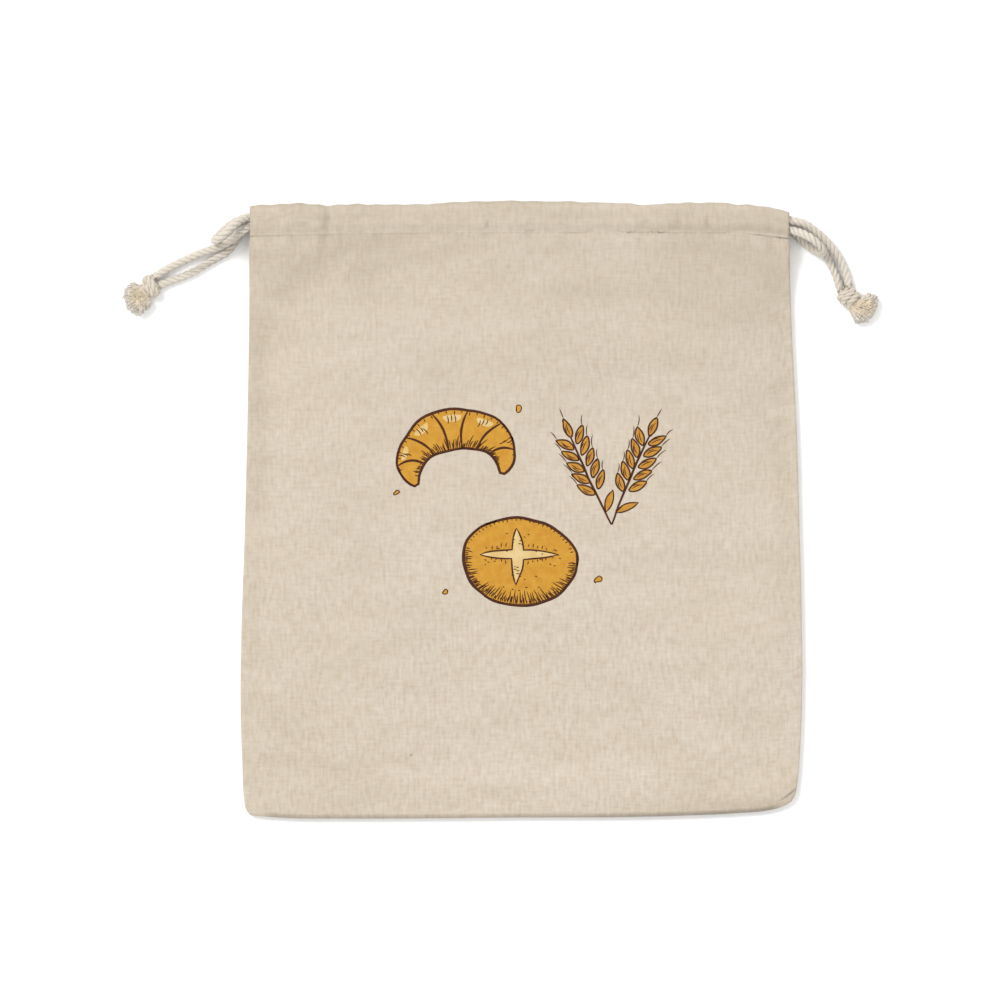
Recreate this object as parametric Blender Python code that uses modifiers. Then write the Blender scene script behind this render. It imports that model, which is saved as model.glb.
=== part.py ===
"""A linen bread bag, 281 x 308 mm, that lies flat with its print side up and its mouth towards +Y.

Two panels are sewn along the sides and the bottom, with pressed-open seam allowances inside. Each
panel's top is folded down inside as a tunnel, and two drawcords run through both tunnels: one is
knotted at the left and turns round at the right, the other is knotted at the right and turns round
at the left. The origin is at the middle of the cloth's underside. +X is to the right, +Z is up.
"""

import math

import bmesh
import bpy
import numpy as np
from mathutils import Matrix, Vector

MM = 0.001

# Cloth. Two layers that lie on each other have their middles one LAYER apart.
CLOTH = 1.0
GAP = 0.3
LAYER = CLOTH + GAP
ALLOWANCE = 10.0
FOLD_RADIUS = LAYER / 2
EDGE_INSET = FOLD_RADIUS + CLOTH / 2
HEM_PAST_STITCHES = 2.0

# The outline of the bag. Columns: y, x of the side edge, from the bottom up.
LEFT_EDGE = (
    (-154.0, -131.0), (-152.0, -135.6), (-149.0, -137.9), (-144.0, -138.8), (-128.0, -139.6),
    (-100.0, -140.5), (-60.0, -140.1), (-10.0, -138.4), (35.0, -137.3), (90.0, -136.3),
    (125.0, -135.9), (152.0, -135.5),
)
RIGHT_EDGE = (
    (-154.0, 124.0), (-150.0, 130.5), (-146.5, 134.0), (-142.5, 136.7), (-136.0, 138.0),
    (-115.0, 139.6), (-85.0, 140.5), (-55.0, 140.2), (-5.0, 139.0), (35.0, 137.9),
    (90.0, 135.2), (125.0, 134.0), (152.0, 133.2),
)
# Columns: x, y of the top fold, and of the bottom fold.
TOP_EDGE = (
    (-135.5, 151.8), (-112.0, 152.9), (-98.0, 152.2), (-80.0, 152.4), (-50.0, 152.4),
    (-30.0, 153.6), (-8.0, 154.1), (20.0, 153.8), (50.0, 152.9), (65.0, 152.2), (80.0, 153.2),
    (104.0, 152.8), (120.0, 151.5), (128.0, 150.2), (133.2, 148.6),
)
BOTTOM_EDGE = (
    (-135.0, -152.6), (-118.0, -153.8), (-90.0, -154.1), (-50.0, -154.0), (0.0, -153.6),
    (50.0, -153.4), (80.0, -152.7), (108.0, -151.4), (124.0, -149.9), (131.0, -147.9),
    (137.0, -144.0),
)
# Columns: x, y of the stitches that close the tunnel.
STITCH_LINE = ((-135.5, 137.3), (-90.0, 138.2), (0.0, 138.8), (80.0, 139.0), (115.0, 138.3), (133.2, 136.2))

# Drawcords. A tunnel is round its cords' lanes, two cords side by side.
CORD = 4.2
CORD_SIDES = 8
FREE_STEP = 6.0
TUNNEL_STEP = 12.0
FINE_STEPS = 12
TUNNEL_HALF = CORD / 2 + GAP + CLOTH / 2
LANES = {"low": 4.4, "high": 8.95}
TUNNEL_STATIONS = (-135.2, -130.5, -120.0, -95.0, -60.0, -20.0, 20.0, 60.0, 95.0, 118.0, 127.5, 132.6)
# Columns: distance from the stitches towards the fold, share of the tunnel's half height.
TUNNEL_RISE = ((0.0, 0.224), (1.2, 0.66), (2.6, 0.95), (4.4, 1.0))
FOLD_STEPS = 6

# Heights of the front panel's middle surface.
BACK_MIDDLE = CLOTH / 2
SEAM_MIDDLE = BACK_MIDDLE + 3 * LAYER
BACK_TUNNEL = BACK_MIDDLE + TUNNEL_HALF
FRONT_TUNNEL = BACK_TUNNEL + 2 * TUNNEL_HALF + LAYER
MOUTH_GAPE = 4.75
GAPE_RUN = 26.0
GAPE_POWER = 1.3
BOTTOM_RUN = 16.0
SIDE_DROP = 36.0

# Soft troughs of the front panel below the stitches, each along a line of places.
FRONT_TROUGHS = (
    {"line": ((-86.0, 129.0), (-117.0, 108.0), (-131.0, 66.0)), "reach": 13.0, "depth": 1.3},
    {"line": ((-30.0, 134.0), (-44.0, 121.0), (-70.0, 120.0)), "reach": 10.0, "depth": 0.8},
    {"line": ((86.0, 130.0), (131.0, 127.0)), "reach": 7.0, "depth": 0.9},
)

# The net of each panel. Rows are shares of the way from the bottom fold to the stitches.
COLUMNS = 20
ROWS = (0.0, 0.007, 0.018, 0.04, 0.09, 0.17, 0.27, 0.37, 0.47, 0.57, 0.67, 0.76, 0.83, 0.885,
        0.925, 0.957, 0.982, 1.0)
FIRST_SIDE_ROW = 2
LAST_SIDE_ROW = 16
# A turned-in edge: steps round its fold, then steps across the allowance.
TURN_STEPS = 4
ALLOWANCE_STEPS = (ALLOWANCE * 0.35, ALLOWANCE)

# The free ends and the turns of the cords, in millimetres. Each route's ends meet a knot or a tunnel.
LEFT_ENDS = {
    "front": ((-183.8, 116.7, 2.7), (-179.0, 119.9, 2.3), (-173.4, 122.9, 2.2), (-166.4, 126.2, 2.2),
              (-160.0, 128.9, 2.5), (-154.8, 130.7, 3.4), (-149.9, 132.6, 4.5), (-145.0, 135.4, 6.5),
              (-140.0, 139.0, 9.2)),
    "back": ((-181.5, 112.6, 2.7), (-175.8, 114.7, 2.2), (-169.9, 116.8, 2.1), (-164.0, 119.5, 2.1),
             (-158.2, 122.9, 2.1), (-152.8, 126.2, 2.1), (-147.6, 129.2, 2.1), (-143.6, 134.1, 2.3),
             (-139.8, 139.4, 3.1)),
}
RIGHT_ENDS = {
    "front": ((163.7, 112.4, 2.9), (162.5, 118.4, 2.6), (160.0, 124.3, 2.9), (156.1, 130.4, 4.3),
              (151.6, 135.6, 6.4), (146.8, 139.8, 8.4), (141.0, 143.4, 10.0)),
    "back": ((159.8, 110.1, 2.7), (157.5, 117.2, 2.2), (155.2, 122.4, 2.1), (152.8, 127.8, 2.1),
             (150.8, 133.0, 2.1), (147.4, 138.4, 2.1), (141.4, 143.2, 2.6)),
}
LEFT_TURN = (
    (-138.6, 145.9, 11.6), (-141.5, 144.1, 13.9), (-144.5, 141.5, 16.1), (-147.4, 138.8, 17.0),
    (-150.1, 136.5, 16.1), (-152.3, 135.0, 13.4), (-153.3, 134.8, 9.6), (-152.9, 135.9, 5.9),
    (-151.1, 138.0, 3.3), (-148.4, 140.7, 2.2), (-145.0, 143.5, 2.2), (-141.5, 145.4, 2.4),
    (-138.5, 146.2, 2.9),
)
RIGHT_TURN = (
    (136.9, 139.4, 12.1), (140.2, 138.2, 15.0), (143.9, 136.2, 17.1), (147.4, 133.5, 17.2),
    (149.9, 130.9, 14.9), (150.7, 129.2, 11.2), (149.5, 128.9, 7.1), (146.5, 130.2, 3.9),
    (142.8, 132.9, 2.3), (139.5, 135.8, 2.2), (136.3, 138.7, 2.9),
)

# Knots. Columns: centre x, y, turn of its axis about +Z in degrees, length along the axis, width.
KNOTS = {
    "knot_left": {"centre": (-186.0, 111.6), "turn": -142.0, "long": 7.4, "wide": 11.4},
    "knot_right": {"centre": (163.9, 106.4), "turn": -52.0, "long": 9.4, "wide": 9.8},
}
KNOT_HEIGHT = 8.2
KNOT_LIFT = 0.05
WRAP = 4.0
BOUND_WIDTH = 0.86
BOUND_HEIGHT = 0.9
# The wraps. Columns: place along the axis, place across it, share of the knot's width and height.
WRAPS = ((0.4, 0.0, 1.0), (-1.9, 0.4, 0.92))
FLARE_START = 0.3
FLARE_LENGTH = 10.4
FLARE_WIDTH = 13.2
FLARE_HEIGHT = 7.0
FLARE_ROOT = 0.48
ROUND_SIDES = 14
ROUND_RINGS = 9

LINEN = {"colour": (0.694, 0.604, 0.497), "roughness": 0.9, "metallic": 0.0}
COTTON = {"colour": (0.66, 0.59, 0.50), "roughness": 0.85, "metallic": 0.0}


def along(table, at):
    """The second column of a table, on a smooth curve through its rows, where the first is at."""
    first, second = np.array(table).T
    at = min(max(at, first[0]), first[-1])
    slopes = np.gradient(second, first)
    row = min(max(int(np.searchsorted(first, at)) - 1, 0), len(first) - 2)
    width = first[row + 1] - first[row]
    share = (at - first[row]) / width
    rest = 1 - share
    return float(
        second[row] * (1 + 2 * share) * rest**2 + slopes[row] * width * share * rest**2
        + second[row + 1] * (3 - 2 * share) * share**2 - slopes[row + 1] * width * share**2 * rest
    )


def smooth(share):
    share = min(max(share, 0.0), 1.0)
    return share * share * (3 - 2 * share)


def gape_share(x):
    """How far the mouth stands open at x: nothing at the side seams, all over the middle."""
    from_side = max(min(x - LEFT_EDGE[-1][1], RIGHT_EDGE[-1][1] - x), 0.0)
    return 1 - math.exp(-((from_side / GAPE_RUN) ** GAPE_POWER))


def tunnel_height(side, x):
    """The height of the cords' middles in the front (1) or the back (-1) tunnel."""
    return FRONT_TUNNEL + MOUTH_GAPE * gape_share(x) if side > 0 else BACK_TUNNEL


def line_distance(line, x, y):
    """How far a place is from a line of straight stretches."""
    nearest = math.inf
    for (x0, y0), (x1, y1) in zip(line, line[1:]):
        run, rise = x1 - x0, y1 - y0
        share = ((x - x0) * run + (y - y0) * rise) / (run * run + rise * rise)
        share = min(max(share, 0.0), 1.0)
        nearest = min(nearest, math.hypot(x - x0 - run * share, y - y0 - rise * share))
    return nearest


def trough_depth(x, y):
    """How far the front panel's soft troughs let it down."""
    return sum(
        trough["depth"] * math.exp(-((line_distance(trough["line"], x, y) / trough["reach"]) ** 2))
        for trough in FRONT_TROUGHS
    )


def front_height(x, y):
    """The front panel's middle surface below the stitches, from the tunnel down to the seams."""
    stitches = along(STITCH_LINE, x)
    bottom = along(BOTTOM_EDGE, x)
    top_height = tunnel_height(1, x) + LAYER / 2
    down = max(stitches - y, 0.0)
    share = min(down / (stitches - bottom), 1.0)
    at_side = SEAM_MIDDLE + (top_height - SEAM_MIDDLE) * (1 - smooth(down / SIDE_DROP))
    in_middle = SEAM_MIDDLE + (top_height - SEAM_MIDDLE) * (1 - share)
    from_side = max(min(x - along(LEFT_EDGE, y), along(RIGHT_EDGE, y) - x) - EDGE_INSET, 0.0)
    crown = 1 - math.exp(-((from_side / GAPE_RUN) ** GAPE_POWER))
    lift = 1 - math.exp(-max(y - bottom - EDGE_INSET, 0.0) / BOTTOM_RUN)
    height = at_side + (in_middle - at_side) * crown * lift
    return height - trough_depth(x, y) * crown * smooth(down / HEM_PAST_STITCHES / 2)


def panel_height(side, x, y):
    return front_height(x, y) if side > 0 else BACK_MIDDLE


def net_point(across, up):
    """The place on the outline's net: across and up are shares between its folds."""
    x = LEFT_EDGE[-1][1] + (RIGHT_EDGE[-1][1] - LEFT_EDGE[-1][1]) * across
    for _ in range(3):
        low = along(BOTTOM_EDGE, x) + EDGE_INSET
        y = low + (along(STITCH_LINE, x) - low) * up
        left = along(LEFT_EDGE, y) + EDGE_INSET
        right = along(RIGHT_EDGE, y) - EDGE_INSET
        x = left + (right - left) * across
    return x, y


def turned_in(step):
    """The inward reach and the drop of a seam allowance at this step of its net."""
    if step <= TURN_STEPS:
        angle = math.pi * step / TURN_STEPS
        return -FOLD_RADIUS * math.sin(angle), FOLD_RADIUS * (1 - math.cos(angle))
    return ALLOWANCE_STEPS[step - TURN_STEPS - 1], LAYER


def tunnel_section():
    """Rows of the tunnel beyond the stitches: distance, height share, and whether past the fold."""
    rise = TUNNEL_RISE[1:]
    rows = [(reach, share, 0.0) for reach, share in rise]
    rows += [(None, 1.0, math.pi * step / FOLD_STEPS) for step in range(FOLD_STEPS + 1)]
    rows += [(reach, -share, math.pi) for reach, share in reversed(rise)]
    return rows + [(0.0, -TUNNEL_RISE[0][1], math.pi), (-HEM_PAST_STITCHES, None, math.pi)]


def tunnel_point(side, x, row):
    """A point of the tunnel's middle surface in the section at x."""
    reach, share, angle = row
    stitches = along(STITCH_LINE, x)
    middle = tunnel_height(side, x)
    if share is None:
        y = stitches + reach
        return y, panel_height(side, x, y) - side * LAYER
    if reach is None:
        fold = along(TOP_EDGE, x) - CLOTH / 2 - TUNNEL_HALF
        return fold + TUNNEL_HALF * math.sin(angle), middle + side * TUNNEL_HALF * math.cos(angle)
    if side < 0:
        lower = BACK_MIDDLE
        return stitches + reach, lower if share > 0 else lower - 2 * share * TUNNEL_HALF
    return stitches + reach, middle + share * TUNNEL_HALF


def panel_point(side, column, row, tunnel_rows):
    """Where a point of the cut cloth's net lies once it is folded."""
    last = len(ROWS) - 1
    across = min(max(column, 0), COLUMNS) / COLUMNS
    x, y = net_point(across, ROWS[min(max(row, 0), last)])
    if row > last:
        y, z = tunnel_point(side, x, tunnel_rows[row - last - 1])
        return x, y, z
    if column < 0 or column > COLUMNS:
        reach, drop = turned_in(-column if column < 0 else column - COLUMNS)
        inside = x + (reach if column < 0 else -reach)
        return inside, y, panel_height(side, inside if reach > 0 else x, y) - side * drop
    if row < 0:
        reach, drop = turned_in(-row)
        return x, y + reach, panel_height(side, x, y + max(reach, 0.0)) - side * drop
    return x, y, panel_height(side, x, y)


def extend_net(net, wanted, step, times):
    """Extends the net from the edges whose both ends are wanted, one row of faces at a time."""
    edges = [e for e in net.edges if e.is_boundary and all(wanted(v.co) for v in e.verts)]
    for _ in range(times):
        grown = bmesh.ops.extrude_edge_only(net, edges=edges)["geom"]
        added = [v for v in grown if isinstance(v, bmesh.types.BMVert)]
        bmesh.ops.translate(net, verts=added, vec=step)
        new = set(added)
        edges = [e for e in grown if isinstance(e, bmesh.types.BMEdge) and set(e.verts) <= new]


def make_panel(name, side, finish, parts):
    """A panel: its net is extended by the tunnel and the allowances, folded, and given its thickness."""
    last = len(ROWS) - 1
    tunnel_rows = tunnel_section()
    net = bmesh.new()
    bmesh.ops.create_grid(net, x_segments=COLUMNS, y_segments=last, size=0.5)
    for vert in net.verts:
        vert.co = Vector((round((vert.co.x + 0.5) * COLUMNS), round((vert.co.y + 0.5) * last), 0.0))
    extend_net(net, lambda co: round(co.y) == last, (0, 1, 0), len(tunnel_rows))
    turned = TURN_STEPS + len(ALLOWANCE_STEPS)
    side_rows = range(FIRST_SIDE_ROW, LAST_SIDE_ROW + 1)
    extend_net(net, lambda co: round(co.x) == 0 and round(co.y) in side_rows, (-1, 0, 0), turned)
    extend_net(net, lambda co: round(co.x) == COLUMNS and round(co.y) in side_rows, (1, 0, 0), turned)
    extend_net(net, lambda co: round(co.y) == 0 and 0 < round(co.x) < COLUMNS, (0, -1, 0), turned)
    for vert in net.verts:
        place = panel_point(side, round(vert.co.x), round(vert.co.y), tunnel_rows)
        vert.co = Vector(place) * MM
    mesh = bpy.data.meshes.new(name)
    net.to_mesh(mesh)
    net.free()
    mesh.shade_smooth()
    panel = bpy.data.objects.new(name, mesh)
    parts.objects.link(panel)
    wall = panel.modifiers.new("cloth", "SOLIDIFY")
    wall.thickness = CLOTH * MM
    wall.offset = 0.0
    wall.use_even_offset = True
    mesh.materials.append(finish)
    return panel


def smooth_route(points):
    """Points on a smooth curve through the given ones: at the tunnels' ends, and evenly between those."""
    held = [2 * Vector(points[0]) - Vector(points[1])] + [Vector(p) for p in points]
    held.append(2 * held[-1] - held[-2])
    fine = []
    for before, here, there, after in zip(held, held[1:], held[2:], held[3:]):
        for part in range(FINE_STEPS):
            t = part / FINE_STEPS
            fine.append(0.5 * (
                2 * here + (there - before) * t
                + (2 * before - 5 * here + 4 * there - after) * t * t
                + (3 * here - before - 3 * there + after) * t**3
            ))
    fine.append(Vector(points[-1]))
    steps = np.array([(b - a).length for a, b in zip(fine, fine[1:])])
    inside = [TUNNEL_STATIONS[0] < (a.x + b.x) / 2 < TUNNEL_STATIONS[-1] for a, b in zip(fine, fine[1:])]
    changes = [place for place in range(1, len(steps)) if inside[place] != inside[place - 1]]
    for first, end in zip([0] + changes, changes + [len(steps)]):
        run = steps[first:end].sum()
        steps[first:end] *= round(run / (TUNNEL_STEP if inside[first] else FREE_STEP)) / run
    reach = np.concatenate([[0.0], np.cumsum(steps)])
    wanted = np.arange(round(reach[-1]) + 1)
    axes = np.array(fine).T
    return [Vector(p) for p in np.stack([np.interp(wanted, reach, axis) for axis in axes], axis=1)]


def lane_points(side, lane, rightwards):
    """The route of a cord through a tunnel."""
    stations = TUNNEL_STATIONS if rightwards else TUNNEL_STATIONS[::-1]
    return [(x, along(STITCH_LINE, x) + LANES[lane], tunnel_height(side, x)) for x in stations]


def drawcord_route(ends, turn, lane, rightwards):
    """From the knot through the front tunnel, round the turn, and back through the back tunnel."""
    route = list(ends["front"])
    route += lane_points(1, lane, rightwards)
    route += list(turn)
    route += lane_points(-1, lane, not rightwards)
    route += list(reversed(ends["back"]))
    return route


def make_cord(name, route, finish, parts):
    """A drawcord: a round tube along its route, with closed ends."""
    curve = bpy.data.curves.new(name, "CURVE")
    curve.dimensions = "3D"
    curve.bevel_depth = CORD / 2 * MM
    curve.bevel_resolution = (CORD_SIDES - 4) // 2
    curve.use_fill_caps = True
    points = smooth_route(route)
    line = curve.splines.new("POLY")
    line.points.add(len(points) - 1)
    for point, place in zip(line.points, points):
        point.co = (*(place * MM), 1.0)
    curve.materials.append(finish)
    cord = bpy.data.objects.new(name, curve)
    parts.objects.link(cord)
    return cord


def cutter(name, mesh_from, helpers):
    """A helper solid for a union, out of the render."""
    mesh = bpy.data.meshes.new(name)
    mesh_from.to_mesh(mesh)
    mesh_from.free()
    helper = bpy.data.objects.new(name, mesh)
    helper.hide_render = True
    helper.display_type = "WIRE"
    helpers.objects.link(helper)
    return helper


def lump(name, size, centre, helpers):
    """An egg-shaped solid of the given size."""
    shape = bmesh.new()
    bmesh.ops.create_uvsphere(shape, u_segments=ROUND_SIDES, v_segments=ROUND_RINGS, radius=0.5)
    bmesh.ops.scale(shape, vec=Vector(size) * MM, verts=shape.verts)
    bmesh.ops.translate(shape, vec=Vector(centre) * MM, verts=shape.verts)
    return cutter(name, shape, helpers)


def flare(name, start, helpers):
    """The cut ends as they open out: a flattened cone along +X."""
    shape = bmesh.new()
    bmesh.ops.create_cone(
        shape, cap_ends=True, segments=ROUND_SIDES, radius1=FLARE_ROOT / 2, radius2=0.5, depth=1.0,
    )
    bmesh.ops.rotate(shape, matrix=Matrix.Rotation(math.pi / 2, 3, "Y"), verts=shape.verts)
    size = Vector((FLARE_LENGTH, FLARE_WIDTH, FLARE_HEIGHT))
    bmesh.ops.scale(shape, vec=size * MM, verts=shape.verts)
    bmesh.ops.translate(shape, vec=Vector((start + FLARE_LENGTH / 2, 0, 0)) * MM, verts=shape.verts)
    return cutter(name, shape, helpers)


def make_knot(name, centre, turn, long, wide, finish, parts, helpers):
    """A knot: the bound cords, the turn wrapped round them, and the flared cut ends, as one solid."""
    body = bmesh.new()
    bmesh.ops.create_uvsphere(body, u_segments=ROUND_SIDES, v_segments=ROUND_RINGS, radius=0.5)
    size = Vector((long, wide * BOUND_WIDTH, KNOT_HEIGHT * BOUND_HEIGHT))
    bmesh.ops.scale(body, vec=size * MM, verts=body.verts)
    mesh = bpy.data.meshes.new(name)
    body.to_mesh(mesh)
    body.free()
    mesh.shade_smooth()
    mesh.materials.append(finish)
    knot = bpy.data.objects.new(name, mesh)
    parts.objects.link(knot)
    added = [
        lump(f"{name}_wrap_{number}", (WRAP, wide * share, KNOT_HEIGHT * share), (ahead, aside, 0), helpers)
        for number, (ahead, aside, share) in enumerate(WRAPS)
    ]
    added.append(flare(name + "_ends", long * FLARE_START, helpers))
    for helper in added:
        union = knot.modifiers.new(helper.name, "BOOLEAN")
        union.operation = "UNION"
        union.object = helper
    place = Matrix.Translation((centre[0] * MM, centre[1] * MM, (KNOT_HEIGHT / 2 + KNOT_LIFT) * MM))
    place @= Matrix.Rotation(math.radians(turn), 4, "Z")
    for piece in [knot] + added:
        piece.matrix_world = place
    return knot


def make_finish(name, look):
    """A plain cloth or cord material."""
    finish = bpy.data.materials.new(name)
    finish.use_nodes = True
    shader = finish.node_tree.nodes["Principled BSDF"]
    shader.inputs["Base Color"].default_value = (*look["colour"], 1.0)
    shader.inputs["Roughness"].default_value = look["roughness"]
    shader.inputs["Metallic"].default_value = look["metallic"]
    return finish


def clear_scene():
    for item in list(bpy.data.objects):
        bpy.data.objects.remove(item, do_unlink=True)


def make_collection(name):
    group = bpy.data.collections.new(name)
    bpy.context.scene.collection.children.link(group)
    return group


def main():
    clear_scene()
    parts = make_collection("linen_bread_bag")
    helpers = make_collection("helpers")
    linen = make_finish("linen", LINEN)
    cotton = make_finish("cotton", COTTON)
    make_panel("front_panel", 1, linen, parts)
    make_panel("back_panel", -1, linen, parts)
    left_route = drawcord_route(LEFT_ENDS, RIGHT_TURN, "low", True)
    right_route = drawcord_route(RIGHT_ENDS, LEFT_TURN, "high", False)
    make_cord("drawcord_left", left_route, cotton, parts)
    make_cord("drawcord_right", right_route, cotton, parts)
    for name, knot in KNOTS.items():
        make_knot(name, **knot, finish=cotton, parts=parts, helpers=helpers)


main()
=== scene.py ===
"""The looks of a linen bread bag that lies flat: cloth, stitches, drawcords, knots and print.

All lengths are written in millimetres in the row's frame and made metres at the end. +X is to the
right, +Y towards the mouth and +Z up. The places of the folds and of the cords are the part's own.
"""

import math
import random

import bpy
import numpy as np
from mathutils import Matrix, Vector


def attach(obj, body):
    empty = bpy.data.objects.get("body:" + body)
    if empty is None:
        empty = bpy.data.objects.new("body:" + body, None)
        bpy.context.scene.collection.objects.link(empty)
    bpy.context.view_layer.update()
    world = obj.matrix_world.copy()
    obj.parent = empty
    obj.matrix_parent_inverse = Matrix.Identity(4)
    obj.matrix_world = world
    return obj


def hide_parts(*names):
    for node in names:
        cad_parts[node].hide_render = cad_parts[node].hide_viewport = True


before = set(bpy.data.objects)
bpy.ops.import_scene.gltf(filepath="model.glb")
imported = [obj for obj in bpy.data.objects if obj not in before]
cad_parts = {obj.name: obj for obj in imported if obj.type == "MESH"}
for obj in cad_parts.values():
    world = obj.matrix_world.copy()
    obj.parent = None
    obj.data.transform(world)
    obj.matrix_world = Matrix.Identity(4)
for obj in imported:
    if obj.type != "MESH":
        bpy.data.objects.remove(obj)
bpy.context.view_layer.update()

MM = 0.001

# ---- the bag's folds, as in the part

CLOTH = 1.0
LAYER = 1.3
FOLD_RADIUS = LAYER / 2
EDGE_INSET = FOLD_RADIUS + CLOTH / 2
HEM_PAST_STITCHES = 2.0
ALLOWANCE = 10.0
# Columns: y, x of the side edge, from the bottom up.
LEFT_EDGE = (
    (-154.0, -131.0), (-152.0, -135.6), (-149.0, -137.9), (-144.0, -138.8), (-128.0, -139.6),
    (-100.0, -140.5), (-60.0, -140.1), (-10.0, -138.4), (35.0, -137.3), (90.0, -136.3),
    (125.0, -135.9), (152.0, -135.5),
)
RIGHT_EDGE = (
    (-154.0, 124.0), (-150.0, 130.5), (-146.5, 134.0), (-142.5, 136.7), (-136.0, 138.0),
    (-115.0, 139.6), (-85.0, 140.5), (-55.0, 140.2), (-5.0, 139.0), (35.0, 137.9),
    (90.0, 135.2), (125.0, 134.0), (152.0, 133.2),
)
MOUTH_LEFT, MOUTH_RIGHT = LEFT_EDGE[-1][1], RIGHT_EDGE[-1][1]
# Columns: x, y of the top fold, of the bottom fold and of the tunnel's stitches.
TOP_EDGE = (
    (-135.5, 151.8), (-112.0, 152.9), (-98.0, 152.2), (-80.0, 152.4), (-50.0, 152.4),
    (-30.0, 153.6), (-8.0, 154.1), (20.0, 153.8), (50.0, 152.9), (65.0, 152.2), (80.0, 153.2),
    (104.0, 152.8), (120.0, 151.5), (128.0, 150.2), (133.2, 148.6),
)
BOTTOM_EDGE = (
    (-135.0, -152.6), (-118.0, -153.8), (-90.0, -154.1), (-50.0, -154.0), (0.0, -153.6),
    (50.0, -153.4), (80.0, -152.7), (108.0, -151.4), (124.0, -149.9), (131.0, -147.9),
    (137.0, -144.0),
)
STITCH_LINE = (
    (-135.5, 137.3), (-90.0, 138.2), (0.0, 138.8), (80.0, 139.0), (115.0, 138.3), (133.2, 136.2),
)
CORD = 4.2
TUNNEL_HALF = 2.9
LANES = {"low": 4.4, "high": 8.95}
TUNNEL_STATIONS = (
    -135.2, -130.5, -120.0, -95.0, -60.0, -20.0, 20.0, 60.0, 95.0, 118.0, 127.5, 132.6,
)
# Columns: distance from the stitches towards the fold, share of the tunnel's half height.
TUNNEL_RISE = ((0.0, 0.224), (1.2, 0.66), (2.6, 0.95), (4.4, 1.0))
BACK_MIDDLE = 0.5
SEAM_MIDDLE = BACK_MIDDLE + 3 * LAYER
BACK_TUNNEL = BACK_MIDDLE + TUNNEL_HALF
FRONT_TUNNEL = BACK_TUNNEL + 2 * TUNNEL_HALF + LAYER
MOUTH_GAPE = 4.75
GAPE_RUN = 26.0
GAPE_POWER = 1.3
BOTTOM_RUN = 16.0
SIDE_DROP = 36.0
SIDE_SEAM_END = 0.982
FLARE_RUN = 0.022
# Soft troughs of the front: each line of places, how far it reaches to its sides, its depth.
TROUGHS = (
    (((-86.0, 129.0), (-117.0, 108.0), (-131.0, 66.0)), 13.0, 1.3),
    (((-30.0, 134.0), (-44.0, 121.0), (-70.0, 120.0)), 10.0, 0.8),
    (((86.0, 130.0), (131.0, 127.0)), 7.0, 0.9),
)

# The free ends of each drawcord, from the knot to the tunnel, and its turn at the other side.
LEFT_ENDS = {
    "front": (
        (-183.8, 116.7, 2.7), (-179.0, 119.9, 2.3), (-173.4, 122.9, 2.2), (-166.4, 126.2, 2.2),
        (-160.0, 128.9, 2.5), (-154.8, 130.7, 3.4), (-149.9, 132.6, 4.5), (-145.0, 135.4, 6.5),
        (-140.0, 139.0, 9.2),
    ),
    "back": (
        (-181.5, 112.6, 2.7), (-175.8, 114.7, 2.2), (-169.9, 116.8, 2.1), (-164.0, 119.5, 2.1),
        (-158.2, 122.9, 2.1), (-152.8, 126.2, 2.1), (-147.6, 129.2, 2.1), (-143.6, 134.1, 2.3),
        (-139.8, 139.4, 3.1),
    ),
}
RIGHT_ENDS = {
    "front": (
        (163.7, 112.4, 2.9), (162.5, 118.4, 2.6), (160.0, 124.3, 2.9), (156.1, 130.4, 4.3),
        (151.6, 135.6, 6.4), (146.8, 139.8, 8.4), (141.0, 143.4, 10.0),
    ),
    "back": (
        (159.8, 110.1, 2.7), (157.5, 117.2, 2.2), (155.2, 122.4, 2.1), (152.8, 127.8, 2.1),
        (150.8, 133.0, 2.1), (147.4, 138.4, 2.1), (141.4, 143.2, 2.6),
    ),
}
LEFT_TURN = (
    (-138.6, 145.9, 11.6), (-141.5, 144.1, 13.9), (-144.5, 141.5, 16.1), (-147.4, 138.8, 17.0),
    (-150.1, 136.5, 16.1), (-152.3, 135.0, 13.4), (-153.3, 134.8, 9.6), (-152.9, 135.9, 5.9),
    (-151.1, 138.0, 3.3), (-148.4, 140.7, 2.2), (-145.0, 143.5, 2.2), (-141.5, 145.4, 2.4),
    (-138.5, 146.2, 2.9),
)
RIGHT_TURN = (
    (136.9, 139.4, 12.1), (140.2, 138.2, 15.0), (143.9, 136.2, 17.1), (147.4, 133.5, 17.2),
    (149.9, 130.9, 14.9), (150.7, 129.2, 11.2), (149.5, 128.9, 7.1), (146.5, 130.2, 3.9),
    (142.8, 132.9, 2.3), (139.5, 135.8, 2.2), (136.3, 138.7, 2.9),
)


def along(table, at):
    """The second column of a table, on a smooth curve through its rows, where the first is at."""
    first, second = np.array(table).T
    at = np.clip(at, first[0], first[-1])
    slopes = np.gradient(second, first)
    row = np.clip(np.searchsorted(first, at) - 1, 0, len(first) - 2)
    width = first[row + 1] - first[row]
    share = (at - first[row]) / width
    rest = 1 - share
    return (
        second[row] * (1 + 2 * share) * rest**2 + slopes[row] * width * share * rest**2
        + second[row + 1] * (3 - 2 * share) * share**2
        - slopes[row + 1] * width * share**2 * rest
    )


def smooth(share):
    """0 to 1 as share goes from 0 to 1, with soft ends."""
    share = np.clip(share, 0.0, 1.0)
    return share * share * (3 - 2 * share)


def opening(from_side):
    """How far the front stands up at a way in from its sides: nothing at them, all further in."""
    return 1 - np.exp(-((np.maximum(from_side, 0.0) / GAPE_RUN) ** GAPE_POWER))


def gape_share(x):
    """How far the mouth stands open at x: nothing at the side seams, all over the middle."""
    return opening(np.minimum(x - MOUTH_LEFT, MOUTH_RIGHT - x))


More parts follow.
